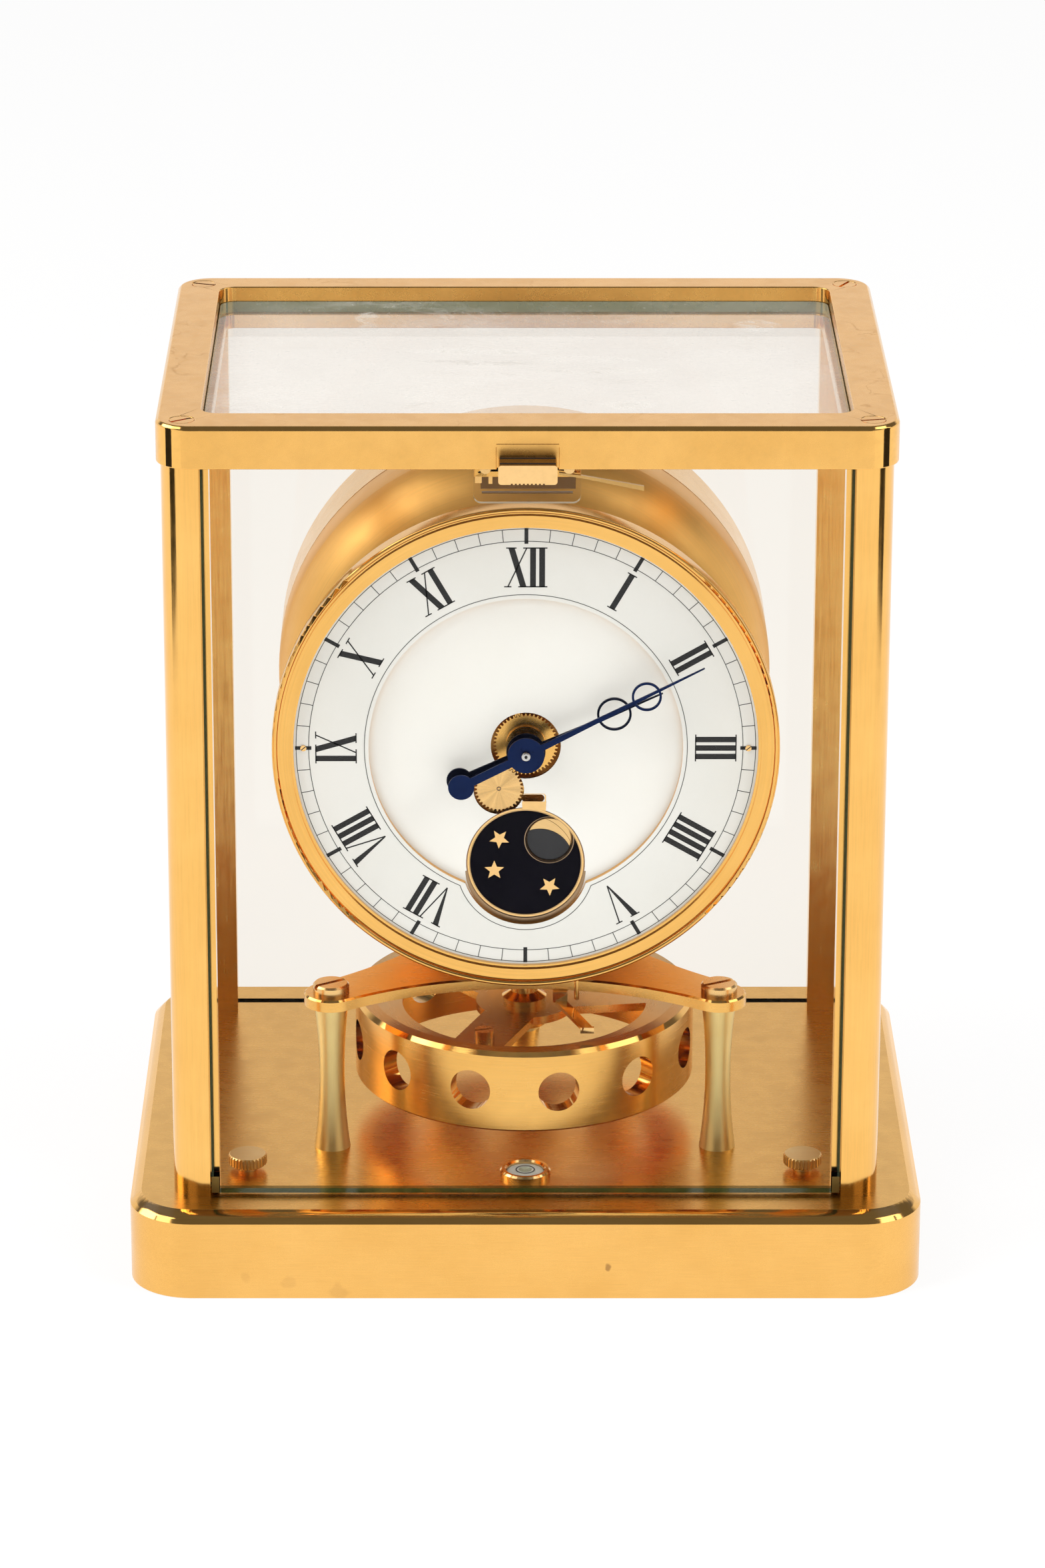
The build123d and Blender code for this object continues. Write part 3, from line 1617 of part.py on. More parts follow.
def main():
    os.makedirs("parts", exist_ok=True)
    write("base_plinth", base_plinth())
    write("bottom_cover", bottom_cover())
    write("bottom_cover_screws", bottom_cover_screws())
    write("level_bezel", level_bezel())
    write("level_vial", level_vial())
    for name, side in (("left", -1), ("right", 1)):
        write(f"levelling_screw_{name}", levelling_screw(side))
        write(f"levelling_foot_{name}", levelling_foot(side))
    write("front_posts", corner_posts(-1))
    write("rear_posts", corner_posts(1))
    write("side_glasses", side_glasses())
    write("top_frame", top_frame())
    write("frame_screws", frame_screws())
    write("top_glass", top_glass())
    write("rear_glass", rear_glass())
    write("front_glass", front_glass())
    write("door_shoes", door_shoes())
    write("latch_button", latch_button())
    write("guard_plate", guard_plate())
    write("guard_screws", guard_screws())
    write("door_leaf_spring", door_leaf_spring())
    write("platform", platform())
    write("platform_pillars", Compound(children=[pillar(name) for name in pillar_places()]))
    write("platform_screws", platform_screws())
    write("pendulum_ring", pendulum_ring())
    write("pendulum_pin", pendulum_pin())
    write("torsion_wire", torsion_wire())
    write("suspension_bracket", suspension_bracket())
    write("lock_collar", lock_collar())
    write("lock_lever", lock_lever())
    write("lever_screw", lever_screw())
    write("bezel", bezel())
    write("chapter_ring", chapter_ring())
    write("inner_dial", inner_dial())
    write("dial_screws", dial_screws())
    write("sky_plate", sky_plate())
    write("sky_rim", sky_rim())
    write("sky_stars", sky_stars())
    write("cannon_pinion", cannon_pinion())
    write("minute_wheel", minute_wheel())
    write("hour_wheel", hour_wheel())
    write("moon_idler", moon_idler())
    write("moon_third_wheel", moon_third_wheel())
    write("moon_wheel", moon_wheel())
    write("moon_disc", moon_disc())
    write("moon_mask", moon_mask())
    write("movement_front_plate", movement_front_plate())
    write("movement_back_plate", movement_back_plate())
    write("plate_pillars", plate_pillars())
    write("centre_wheel", centre_wheel())
    write("escape_wheel", escape_wheel())
    write("pallet_fork", pallet_fork())
    write("barrel", barrel())
    write("hour_hand", hour_hand())
    write("minute_hand", minute_hand())
    write("drum_shell", drum_shell())
    write("drum_cover", drum_cover())
    write("bellows_capsule", bellows_capsule())


if __name__ == "__main__":
    main()
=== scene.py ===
import math

import bmesh
import bpy
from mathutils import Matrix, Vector


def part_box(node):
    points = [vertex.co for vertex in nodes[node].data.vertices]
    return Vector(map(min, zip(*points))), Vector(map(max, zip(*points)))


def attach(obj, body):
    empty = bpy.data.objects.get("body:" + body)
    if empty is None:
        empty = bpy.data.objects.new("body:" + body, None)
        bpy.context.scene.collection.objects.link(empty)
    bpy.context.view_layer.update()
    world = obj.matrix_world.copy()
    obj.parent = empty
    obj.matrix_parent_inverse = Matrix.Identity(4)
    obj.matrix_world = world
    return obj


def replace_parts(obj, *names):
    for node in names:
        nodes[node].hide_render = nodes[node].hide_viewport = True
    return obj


# Looks of the moon phase desk clock, in metres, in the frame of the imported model.
# The dial faces -Y and +Z is up.

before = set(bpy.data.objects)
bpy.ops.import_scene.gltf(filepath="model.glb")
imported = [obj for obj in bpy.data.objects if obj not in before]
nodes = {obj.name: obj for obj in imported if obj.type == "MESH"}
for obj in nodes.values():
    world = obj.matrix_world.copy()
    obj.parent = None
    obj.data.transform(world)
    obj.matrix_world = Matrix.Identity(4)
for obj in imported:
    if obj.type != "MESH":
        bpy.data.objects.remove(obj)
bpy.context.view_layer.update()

MM = 0.001
DIAL_X, DIAL_Z = 0.0, 0.1378
MOON_Z = 0.1050
PENDULUM_Y = -0.006


# Shader tools


def new_material(name):
    material = bpy.data.materials.new(name)
    material.use_nodes = True
    tree = material.node_tree
    tree.nodes.clear()
    output = tree.nodes.new("ShaderNodeOutputMaterial")
    shader = tree.nodes.new("ShaderNodeBsdfPrincipled")
    tree.links.new(shader.outputs[0], output.inputs[0])
    return material, tree, shader, output


def link(tree, a, b):
    tree.links.new(a, b)


def place(tree):
    """Position on the piece at rest, in metres."""
    return tree.nodes.new("ShaderNodeTexCoord").outputs["Object"]


def scaled(tree, vector, scale, shift=(0, 0, 0)):
    node = tree.nodes.new("ShaderNodeMapping")
    node.inputs["Location"].default_value = shift
    node.inputs["Scale"].default_value = scale
    link(tree, vector, node.inputs["Vector"])
    return node.outputs[0]


def noise(tree, vector, scale, detail=4, rough=0.6, distortion=0.0):
    node = tree.nodes.new("ShaderNodeTexNoise")
    node.inputs["Scale"].default_value = scale
    node.inputs["Detail"].default_value = detail
    node.inputs["Roughness"].default_value = rough
    node.inputs["Distortion"].default_value = distortion
    link(tree, vector, node.inputs["Vector"])
    return node.outputs[0]


def maths(tree, kind, a, b=None, c=None, clamp=False):
    node = tree.nodes.new("ShaderNodeMath")
    node.operation = kind
    node.use_clamp = clamp
    for i, value in enumerate((a, b, c)):
        if value is None:
            continue
        if isinstance(value, (int, float)):
            node.inputs[i].default_value = value
        else:
            link(tree, value, node.inputs[i])
    return node.outputs[0]


def product(tree, value, *others):
    for other in others:
        value = maths(tree, "MULTIPLY", value, other)
    return value


def largest(tree, value, *others):
    for other in others:
        value = maths(tree, "MAXIMUM", value, other)
    return value


def spread(tree, value, low, high, to_low, to_high):
    """Map a range of values to another one."""
    node = tree.nodes.new("ShaderNodeMapRange")
    node.inputs["From Min"].default_value = low
    node.inputs["From Max"].default_value = high
    node.inputs["To Min"].default_value = to_low
    node.inputs["To Max"].default_value = to_high
    link(tree, value, node.inputs["Value"])
    return node.outputs[0]


def swing(tree, value, to_low, to_high):
    """Map the range that a noise mostly keeps to, to another one."""
    return spread(tree, value, 0.3, 0.7, to_low, to_high)


def blend(tree, share, a, b):
    """Mix two colours, each a socket or an RGB triple, by a number socket."""
    node = tree.nodes.new("ShaderNodeMix")
    node.data_type = "RGBA"
    link(tree, share, node.inputs["Factor"])
    for socket, value in ((node.inputs[6], a), (node.inputs[7], b)):
        if isinstance(value, tuple):
            socket.default_value = (*value, 1)
        else:
            link(tree, value, socket)
    return node.outputs[2]


def times(tree, colour, share):
    """Darken or lighten a colour, a socket or an RGB triple, by a number socket."""
    node = tree.nodes.new("ShaderNodeVectorMath")
    node.operation = "SCALE"
    if isinstance(colour, tuple):
        node.inputs[0].default_value = colour
    else:
        link(tree, colour, node.inputs[0])
    link(tree, share, node.inputs["Scale"])
    return node.outputs[0]


def vector_maths(tree, kind, a, b=None, c=None):
    node = tree.nodes.new("ShaderNodeVectorMath")
    node.operation = kind
    for i, value in enumerate((a, b, c)):
        if value is None:
            continue
        if isinstance(value, tuple):
            node.inputs[i].default_value = value
        else:
            link(tree, value, node.inputs[i])
    gives_number = kind in ("DOT_PRODUCT", "DISTANCE", "LENGTH")
    return node.outputs["Value"] if gives_number else node.outputs[0]


def parts_of(tree, vector):
    node = tree.nodes.new("ShaderNodeSeparateXYZ")
    link(tree, vector, node.inputs[0])
    return node.outputs


def facing(tree):
    """Facing of the surface, on the piece at rest."""
    return tree.nodes.new("ShaderNodeTexCoord").outputs["Normal"]


def leaning(tree, axis):
    """How far a face looks along an axis, to either side."""
    return maths(tree, "ABSOLUTE", parts_of(tree, facing(tree))[axis])


def wobbled(tree, vector, scale, reach):
    """Place that noise shifts by up to a reach on each axis."""
    node = tree.nodes.new("ShaderNodeTexNoise")
    node.inputs["Scale"].default_value = scale
    link(tree, vector, node.inputs["Vector"])
    return vector_maths(tree, "MULTIPLY_ADD", node.outputs["Color"], reach, vector)


def mix_shaders(tree, share, a, b):
    node = tree.nodes.new("ShaderNodeMixShader")
    for socket, value in zip(node.inputs, (share, a, b)):
        link(tree, value, socket)
    return node.outputs[0]


def bump(tree, height, strength, distance, normal=None):
    node = tree.nodes.new("ShaderNodeBump")
    if normal is not None:
        link(tree, normal, node.inputs["Normal"])
    node.inputs["Strength"].default_value = strength
    node.inputs["Distance"].default_value = distance
    link(tree, height, node.inputs["Height"])
    return node.outputs[0]


# Length of noise that one radian of a turned piece crosses, so that its grain is long
GRAIN_PER_RADIAN = 0.6 * MM


def turned_place(tree, centre, axis):
    """Radius and height round an axis, so that noise on it runs in circles."""
    parts = parts_of(tree, vector_maths(tree, "SUBTRACT", place(tree), centre))
    first, second = (parts[i] for i in range(3) if i != axis)
    square = maths(tree, "ADD", product(tree, first, first), product(tree, second, second))
    radius = maths(tree, "SQRT", square)
    angle = maths(tree, "ARCTAN2", first, second)
    joined = tree.nodes.new("ShaderNodeCombineXYZ")
    link(tree, radius, joined.inputs[0])
    link(tree, parts[axis], joined.inputs[1])
    link(tree, maths(tree, "MULTIPLY", angle, GRAIN_PER_RADIAN), joined.inputs[2])
    return joined.outputs[0]


# A face is a turned wall where it leans this little along the axis and looks this much outwards
WALL_LEAN, WALL_OUT = 0.2, 0.6


def round_normal(tree, centre, axis):
    """Facing of a turned wall: straight out from its axis, in world space."""
    flat = tuple(0.0 if i == axis else 1.0 for i in range(3))
    along = tuple(1.0 if i == axis else 0.0 for i in range(3))
    away = vector_maths(tree, "MULTIPLY", vector_maths(tree, "SUBTRACT", place(tree), centre), flat)
    away = vector_maths(tree, "NORMALIZE", away)
    face = facing(tree)
    lean = maths(tree, "ABSOLUTE", vector_maths(tree, "DOT_PRODUCT", face, along))
    out = vector_maths(tree, "DOT_PRODUCT", face, away)
    wall = maths(tree, "MULTIPLY", maths(tree, "LESS_THAN", lean, WALL_LEAN),
                 maths(tree, "GREATER_THAN", maths(tree, "ABSOLUTE", out), WALL_OUT))
    signed = times(tree, away, maths(tree, "SIGN", out))
    chosen = tree.nodes.new("ShaderNodeMix")
    chosen.data_type = "VECTOR"
    link(tree, wall, chosen.inputs["Factor"])
    link(tree, face, chosen.inputs[4])
    link(tree, signed, chosen.inputs[5])
    turn = tree.nodes.new("ShaderNodeVectorTransform")
    turn.vector_type = "NORMAL"
    turn.convert_from = "OBJECT"
    turn.convert_to = "WORLD"
    link(tree, chosen.outputs[1], turn.inputs[0])
    return turn.outputs[0]


# Materials. A noise scale counts waves in a metre, so 38 is a cloud and 2600 a fine grain.

GOLD = (0.95, 0.52, 0.13)
GOLD_PALE = (0.95, 0.59, 0.23)
STAIN_BROWN = (0.42, 0.22, 0.08)
SPOT_BROWN = (0.36, 0.17, 0.05)
COAT_WEIGHT = 0.3
FACES_UP = 0.9


def stain_share(tree, at, strength):
    """Thin rings of dried water, on faces that look up."""
    ring = noise(tree, at, 55.0, 3, 0.5, 0.6)
    line = spread(tree, maths(tree, "ABSOLUTE", maths(tree, "SUBTRACT", ring, 0.5)),
                  0.0, 0.012, 1.0, 0.0)
    region = noise(tree, scaled(tree, at, (1, 1, 1), (3.1, 1.7, 0.4)), 30.0, 2, 0.5)
    mask = spread(tree, region, 0.5, 0.62, 0.0, 1.0)
    mask = maths(tree, "MULTIPLY", mask,
                 maths(tree, "GREATER_THAN", parts_of(tree, facing(tree))[2], 0.8))
    mark = maths(tree, "MULTIPLY", line, mask, clamp=True)
    return maths(tree, "MULTIPLY", mark, strength, clamp=True)


def spot_share(tree, at, centre, radius, depth):
    """Uneven round spot."""
    near = wobbled(tree, at, 260.0, (radius * 1.6,) * 3)
    middle = tuple(c + radius * 0.8 for c in centre)
    away = vector_maths(tree, "DISTANCE", near, middle)
    return spread(tree, away, radius * 0.6, radius, depth, 0.0)


def slant_share(tree, axes):
    """One on faces that are neither along nor across the named axes, such as bevels."""
    slants = []
    for axis in axes:
        lean = leaning(tree, axis)
        slants.append(product(tree, maths(tree, "GREATER_THAN", lean, 0.25),
                              maths(tree, "LESS_THAN", lean, 0.95)))
    return largest(tree, *slants)


def sun_rays(tree, at, centre):
    """Brightness that varies only with the direction from a centre on the dial."""
    flat = scaled(tree, vector_maths(tree, "SUBTRACT", at, centre), (1, 0, 1))
    ray = vector_maths(tree, "NORMALIZE", flat)
    return spread(tree, noise(tree, ray, 2.2, 5, 0.6), 0.35, 0.65, 0.78, 1.1)


def rolled_height(tree, at, slant, crown):
    """Height for a bevel that rolls over towards its upper edge."""
    low, high, slope = crown
    start = low + 0.3 * (high - low)
    off = maths(tree, "MAXIMUM", maths(tree, "SUBTRACT", parts_of(tree, at)[2], start), 0.0)
    return product(tree, off, off, -slope / (high - low), slant)


def gilt(name, colour, rough, grain=None, scale=900.0, relief=0.25, turned=None, smudge=0.06,
         stains=0.0, spots=(), polished=None, sunburst=None, top=None, crown=None,
         round_wall=False):
    """Gilt brass: brushed or turned grain, faint smudges, water marks and polished bevels."""
    material, tree, shader, _ = new_material(name)
    at = place(tree)
    shader.inputs["Metallic"].default_value = 1.0
    shader.inputs["Coat Weight"].default_value = COAT_WEIGHT
    shader.inputs["Coat Roughness"].default_value = max(0.04, rough * 0.8)
    if turned is not None:
        fine = noise(tree, turned_place(tree, *turned), scale, 3, 0.7)
    elif grain is not None:
        fine = noise(tree, scaled(tree, at, grain), scale, 3, 0.7)
    else:
        fine = noise(tree, at, scale)
    cloud = noise(tree, at, 38.0, 5, 0.62)
    patch = noise(tree, at, 160.0, 3, 0.55)
    tone = maths(tree, "ADD", swing(tree, fine, -0.05, 0.05), swing(tree, cloud, 0.97, 1.02))
    paler = tuple(min(1.0, c * k) for c, k in zip(colour, (1.02, 1.05, 1.14)))
    base = blend(tree, spread(tree, cloud, 0.35, 0.65, 0.0, 1.0), colour, paler)
    base = times(tree, base, tone)
    roughness = maths(tree, "ADD", swing(tree, fine, rough - 0.03, rough + 0.04),
                      spread(tree, patch, 0.35, 0.7, 0.0, smudge))
    if stains:
        mark = stain_share(tree, at, stains)
        base = blend(tree, mark, base, STAIN_BROWN)
        roughness = maths(tree, "ADD", roughness, maths(tree, "MULTIPLY", mark, 0.25))
    for centre, radius, depth in spots:
        base = blend(tree, spot_share(tree, at, centre, radius, depth), base, SPOT_BROWN)
    # Painted reflection and shade: faces that look up get their own colour, a deeper gold on the base
    # and frame and a much darker one on the pendulum ring
    if top:
        upward = maths(tree, "GREATER_THAN", parts_of(tree, facing(tree))[2], FACES_UP)
        base = blend(tree, upward, base, times(tree, top, tone))
    if sunburst:
        base = times(tree, base, sun_rays(tree, at, sunburst))
    if polished:
        slant = slant_share(tree, polished)
        gleam = maths(tree, "MULTIPLY_ADD", patch, 0.05, 0.045)
        rest = maths(tree, "MULTIPLY", maths(tree, "SUBTRACT", 1.0, slant), roughness)
        roughness = maths(tree, "ADD", maths(tree, "MULTIPLY", slant, gleam), rest)
    link(tree, base, shader.inputs["Base Color"])
    link(tree, roughness, shader.inputs["Roughness"])
    normal = round_normal(tree, *turned) if round_wall else None
    if crown:
        normal = bump(tree, rolled_height(tree, at, slant, crown), 1.0, 1.0, normal)
    link(tree, bump(tree, fine, relief, 0.03 * MM, normal), shader.inputs["Normal"])
    return material


def steel(name, colour, rough, metallic=1.0, turned=None, gloss=0.5):
    """Bare, blued or painted metal with fine marks."""
    material, tree, shader, _ = new_material(name)
    at = place(tree)
    grain_place, scale = (turned_place(tree, *turned), 1500) if turned else (at, 700)
    fine = noise(tree, grain_place, scale, 3, 0.6)
    cloud = noise(tree, at, 90.0)
    base = blend(tree, spread(tree, cloud, 0.35, 0.65, 0.0, 1.0), colour,
                 tuple(min(1.0, c * 1.35 + 0.001) for c in colour))
    link(tree, base, shader.inputs["Base Color"])
    roughness = maths(tree, "ADD", swing(tree, fine, rough - 0.04, rough + 0.04),
                      spread(tree, cloud, 0.4, 0.7, 0.0, 0.08))
    link(tree, roughness, shader.inputs["Roughness"])
    shader.inputs["Metallic"].default_value = metallic
    shader.inputs["Specular IOR Level"].default_value = gloss
    link(tree, bump(tree, fine, 0.1, 0.02 * MM), shader.inputs["Normal"])
    return material


def facing_share(tree, least):
    """Share of gloss that rises towards grazing sight, alike on both faces of a pane."""
    weight = tree.nodes.new("ShaderNodeLayerWeight")
    weight.inputs["Blend"].default_value = 0.5
    power = maths(tree, "POWER", weight.outputs["Facing"], 5.0)
    return maths(tree, "MULTIPLY_ADD", power, 0.9, least)


def closure(tree, kind, colour):
    """Bare shader node of one colour."""
    node = tree.nodes.new(f"ShaderNode{kind}")
    node.inputs["Color"].default_value = (*colour, 1)
    return node


# Finger marks on the top glass: centre and half sizes, in millimetres
SMUDGES = ((-12, 12, 20, 3.5), (16, 4, 14, 4), (28, -6, 8, 3), (-42, 45, 3, 7), (-26, -30, 6, 6),
           (62, 36, 6, 7), (26, -38, 8, 4))
SMUDGE_WOBBLE = 6 * MM
DUST_PALE, DUST_DARK = (0.80, 0.78, 0.74), (0.30, 0.27, 0.22)


def smudge_share(tree, at, strength):
    """Streaks inside the finger marks and in a few soft regions, with specks of dust."""
    streak = noise(tree, scaled(tree, at, (1, 2.6, 1)), 30.0, 6, 0.75, 1.2)
    ridge = spread(tree, maths(tree, "ABSOLUTE", maths(tree, "SUBTRACT", streak, 0.5)),
                   0.0, 0.05, 1.0, 0.15)
    where = spread(tree, noise(tree, at, 17.0, 2, 0.5), 0.5, 0.66, 0.0, 0.4)
    near = wobbled(tree, at, 60.0, (SMUDGE_WOBBLE, SMUDGE_WOBBLE, 0.0))
    for x, y, half_x, half_y in SMUDGES:
        middle = (x * MM + SMUDGE_WOBBLE / 2, y * MM + SMUDGE_WOBBLE / 2, 0.0)
        away = vector_maths(tree, "SUBTRACT", near, middle)
        away = vector_maths(tree, "MULTIPLY", away, (1 / (half_x * MM), 1 / (half_y * MM), 0.0))
        inside = spread(tree, vector_maths(tree, "LENGTH", away), 0.55, 1.0, 1.0, 0.0)
        where = maths(tree, "MAXIMUM", where, inside)
    speck = spread(tree, noise(tree, at, 700.0, 2, 0.5), 0.66, 0.72, 0.0, 1.0)
    mark = maths(tree, "MULTIPLY", maths(tree, "MULTIPLY", ridge, where, clamp=True), strength)
    return maths(tree, "ADD", mark, maths(tree, "MULTIPLY", speck, strength * 0.3), clamp=True)


def pane(name, tint, edge, thin, haze=0.003, marks=0.0, least=0.012, border=None):
    """Float glass, thin along one axis: clear faces, green edges, light haze and smudges."""
    material, tree, shader, output = new_material(name)
    at = place(tree)
    shader.inputs["Base Color"].default_value = (*edge, 1)
    shader.inputs["Roughness"].default_value = 0.12
    shader.inputs["Transmission Weight"].default_value = 0.15
    shader.inputs["Specular IOR Level"].default_value = 0.2
    clear = closure(tree, "BsdfTransparent", tint)
    gloss = closure(tree, "BsdfGlossy", (1, 1, 1))
    gloss.inputs["Roughness"].default_value = 0.02
    face = mix_shaders(tree, facing_share(tree, least), clear.outputs[0], gloss.outputs[0])
    dust = closure(tree, "BsdfDiffuse", DUST_PALE)
    film = spread(tree, noise(tree, at, 26.0, 5, 0.6, 0.5), 0.42, 0.75, haze, haze * 3)
    if marks:
        mark = smudge_share(tree, at, marks)
        link(tree, blend(tree, mark, DUST_PALE, DUST_DARK), dust.inputs["Color"])
        film = maths(tree, "ADD", film, mark, clamp=True)
    dusty = mix_shaders(tree, film, face, dust.outputs[0])
    rim = maths(tree, "LESS_THAN", leaning(tree, thin), 0.6)
    if border:
        # Painted reflection: the green of the cut edge, which shows through the faces next to it, is
        # put on them
        half_x, low_z, share = border
        parts = parts_of(tree, at)
        near = maths(tree, "MAXIMUM",
                     maths(tree, "GREATER_THAN", maths(tree, "ABSOLUTE", parts[0]), half_x),
                     maths(tree, "LESS_THAN", parts[2], low_z))
        rim = maths(tree, "MAXIMUM", rim, maths(tree, "MULTIPLY", near, share))
    link(tree, mix_shaders(tree, rim, dusty, shader.outputs[0]), output.inputs[0])
    return material


def clear_plastic(name, tint, share):
    """Clear vial with bright edges."""
    material, tree, shader, output = new_material(name)
    at = place(tree)
    shader.inputs["Base Color"].default_value = (*tint, 1)
    shader.inputs["Roughness"].default_value = 0.05
    shader.inputs["Transmission Weight"].default_value = 0.9
    shader.inputs["IOR"].default_value = 1.3
    clear = closure(tree, "BsdfTransparent", tint)
    body = swing(tree, noise(tree, at, 120.0), share - 0.05, share + 0.05)
    link(tree, mix_shaders(tree, body, clear.outputs[0], shader.outputs[0]), output.inputs[0])
    return material


def dial_enamel(name, colour, wall, warm):
    """Matt silvered white with a warmer cast in places. Its cut walls are metal."""
    material, tree, shader, _ = new_material(name)
    at = place(tree)
    cloud = noise(tree, at, 30.0, 4, 0.55)
    fine = noise(tree, at, 1800.0, 2, 0.5)
    base = blend(tree, swing(tree, cloud, 0.0, 1.0), colour, warm)
    roughness = swing(tree, fine, 0.36, 0.46)
    side = maths(tree, "LESS_THAN", leaning(tree, 1), 0.7)
    base = blend(tree, side, base, wall)
    link(tree, side, shader.inputs["Metallic"])
    roughness = maths(tree, "SUBTRACT", roughness, maths(tree, "MULTIPLY", side, 0.2))
    link(tree, base, shader.inputs["Base Color"])
    link(tree, roughness, shader.inputs["Roughness"])
    link(tree, bump(tree, fine, 0.05, 0.02 * MM), shader.inputs["Normal"])
    return material


def ink(name, colour=(0.006, 0.006, 0.007)):
    material, tree, shader, _ = new_material(name)
    cloud = noise(tree, place(tree), 900.0, 2, 0.5)
    base = blend(tree, cloud, colour, tuple(c * 2.2 for c in colour))
    link(tree, base, shader.inputs["Base Color"])
    shader.inputs["Roughness"].default_value = 0.45
    return material


BASE_FRONT, BASE_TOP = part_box("base_plinth")[0].y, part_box("base_plinth")[1].z
# Height of the bevel's two edges on the base, and how far it rolls over
CHAMFER = (BASE_TOP - 3 * MM, BASE_TOP, 0.85)
DIAL_AXIS = ((DIAL_X, 0, DIAL_Z), 1)
MOON_AXIS = ((0, 0, MOON_Z), 1)
PEND_AXIS = ((0, PENDULUM_Y, 0), 2)
# Spots on the front of the base: x, height, radius and depth of colour
BASE_SPOTS = ((-62, 4.5, 2.2, 0.13), (-49, 2, 3, 0.14), (-73, 6, 1.5, 0.12), (21.5, 8.8, 1, 0.7))
idler_low, idler_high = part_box("moon_idler")
IDLER_CENTRE = ((idler_low.x + idler_high.x) / 2, 0, (idler_low.z + idler_high.z) / 2)
door_low, door_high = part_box("front_glass")
DOOR_BORDER = (door_high.x - 0.6 * MM, door_low.z + 0.7 * MM, 0.65)

base_gold = gilt("gilt_base", (0.94, 0.51, 0.125), 0.25, (0.04, 1, 1), scale=2600, relief=0.1,
                 polished=(2,), top=(0.96, 0.52, 0.10), crown=CHAMFER,
                 spots=[((x * MM, BASE_FRONT - 0.1 * MM, z * MM), radius * MM, depth)
                        for x, z, radius, depth in BASE_SPOTS])
frame_gold = gilt("gilt_frame", GOLD, 0.25, (1, 1, 1), scale=420, relief=0.04, stains=0.5,
                  polished=(0, 2), top=(0.97, 0.50, 0.09))
post_gold = gilt("gilt_posts", GOLD, 0.11, (1, 1, 0.03), scale=1800, relief=0.05, smudge=0.03)
mirror_gold = gilt("gilt_polished", GOLD_PALE, 0.10, scale=600, relief=0.03, smudge=0.04)
screw_gold = gilt("gilt_screws", GOLD_PALE, 0.22, (1, 1, 1), scale=900, relief=0.1)
knob_gold = gilt("gilt_knobs", (0.99, 0.64, 0.24), 0.3, (0.05, 1, 1), scale=1500, relief=0.05)
bezel_gold = gilt("gilt_bezel", GOLD, 0.09, turned=DIAL_AXIS, scale=2200, relief=0.1)
drum_gold = gilt("gilt_drum", GOLD, 0.40, turned=DIAL_AXIS, scale=2600, relief=0.06,
                 round_wall=True)
cover_gold = gilt("gilt_drum_cover", GOLD_PALE, 0.22, turned=DIAL_AXIS, scale=2600, relief=0.06,
                  round_wall=True)
ring_gold = gilt("gilt_pendulum", GOLD, 0.21, turned=PEND_AXIS, scale=2600, relief=0.2,
                 polished=(2,), top=(0.60, 0.33, 0.09), round_wall=True)
platform_gold = gilt("gilt_platform", GOLD, 0.22, (0.05, 1, 1), scale=2400, relief=0.04,
                     polished=(2,))
pillar_gold = gilt("gilt_pillars", (1.0, 0.74, 0.30), 0.38, (1, 1, 0.06), scale=1600, relief=0.1)
# Painted light: the rear posts get a lighter gold than the front ones
rear_gold = gilt("gilt_rear_posts", (0.99, 0.62, 0.20), 0.2, (1, 1, 0.03), scale=1800, relief=0.05)
wheel_gold = gilt("brass_wheels", GOLD, 0.25, turned=DIAL_AXIS, scale=3000, relief=0.04)
idler_gold = gilt("brass_idler", GOLD_PALE, 0.27, (1, 1, 1), scale=1200, relief=0.02,
                  sunburst=IDLER_CENTRE)
leaf_gold = gilt("gilt_leaf", (0.62, 0.36, 0.11), 0.2, (0.05, 1, 1), scale=1400, relief=0.1)
# Dark brown of the painted shade behind the guard
painted_shade_brown = gilt("painted_shade_brown", (0.16, 0.075, 0.022), 0.3, (1, 1, 0.05), scale=1200, relief=0.2)
plate_gold = gilt("brass_plates", GOLD, 0.34, (1, 1, 0.05), scale=1800, relief=0.2)
moon_gold = gilt("moon_disc_gold", (0.95, 0.62, 0.26), 0.32, turned=MOON_AXIS, scale=1500,
                 relief=0.1)
# Brown for the moon window's bevel, the idler pin and the rim lines, and for the painted shade in the
# moon well
shade_and_bevel_brown = gilt("bevel_and_shade_brown", (0.42, 0.28, 0.16), 0.28, turned=MOON_AXIS, scale=1500, relief=0.1)
silver = steel("bare_steel", (0.60, 0.60, 0.60), 0.25)
blued_hour = steel("blued_hour", (0.002, 0.004, 0.016), 0.3, metallic=0.6, gloss=0.15)
blued_minute = steel("blued_minute", (0.003, 0.012, 0.060), 0.3, metallic=0.6, gloss=0.15)
sky_black = steel("sky_enamel", (0.0015, 0.001, 0.004), 0.18, metallic=0.0, gloss=0.03)
moon_dark = steel("moon_mask_grey", (0.022, 0.022, 0.026), 0.42, metallic=0.2, turned=MOON_AXIS)
cover_black = steel("cover_black", (0.02, 0.02, 0.021), 0.5, metallic=0.3)
front_pane = pane("glass_front", tint=(0.985, 0.985, 0.975), edge=(0.03, 0.045, 0.010), thin=1,
                  haze=0.0005, least=0.0015, border=DOOR_BORDER)
rear_pane = pane("glass_rear", tint=(0.975, 0.955, 0.93), edge=(0.12, 0.24, 0.14), thin=1)
side_pane = pane("glass_side", tint=(0.975, 0.965, 0.95), edge=(0.12, 0.24, 0.14), thin=0)
top_pane = pane("glass_top", tint=(0.95, 0.935, 0.915), edge=(0.20, 0.25, 0.15), thin=2,
                haze=0.06, marks=0.55)
guard_clear = pane("guard_clear", tint=(0.98, 0.965, 0.93), edge=(0.95, 0.80, 0.52), thin=1,
                   least=0.003)
vial_glass = clear_plastic("vial_glass", (0.93, 0.96, 0.90), 0.4)
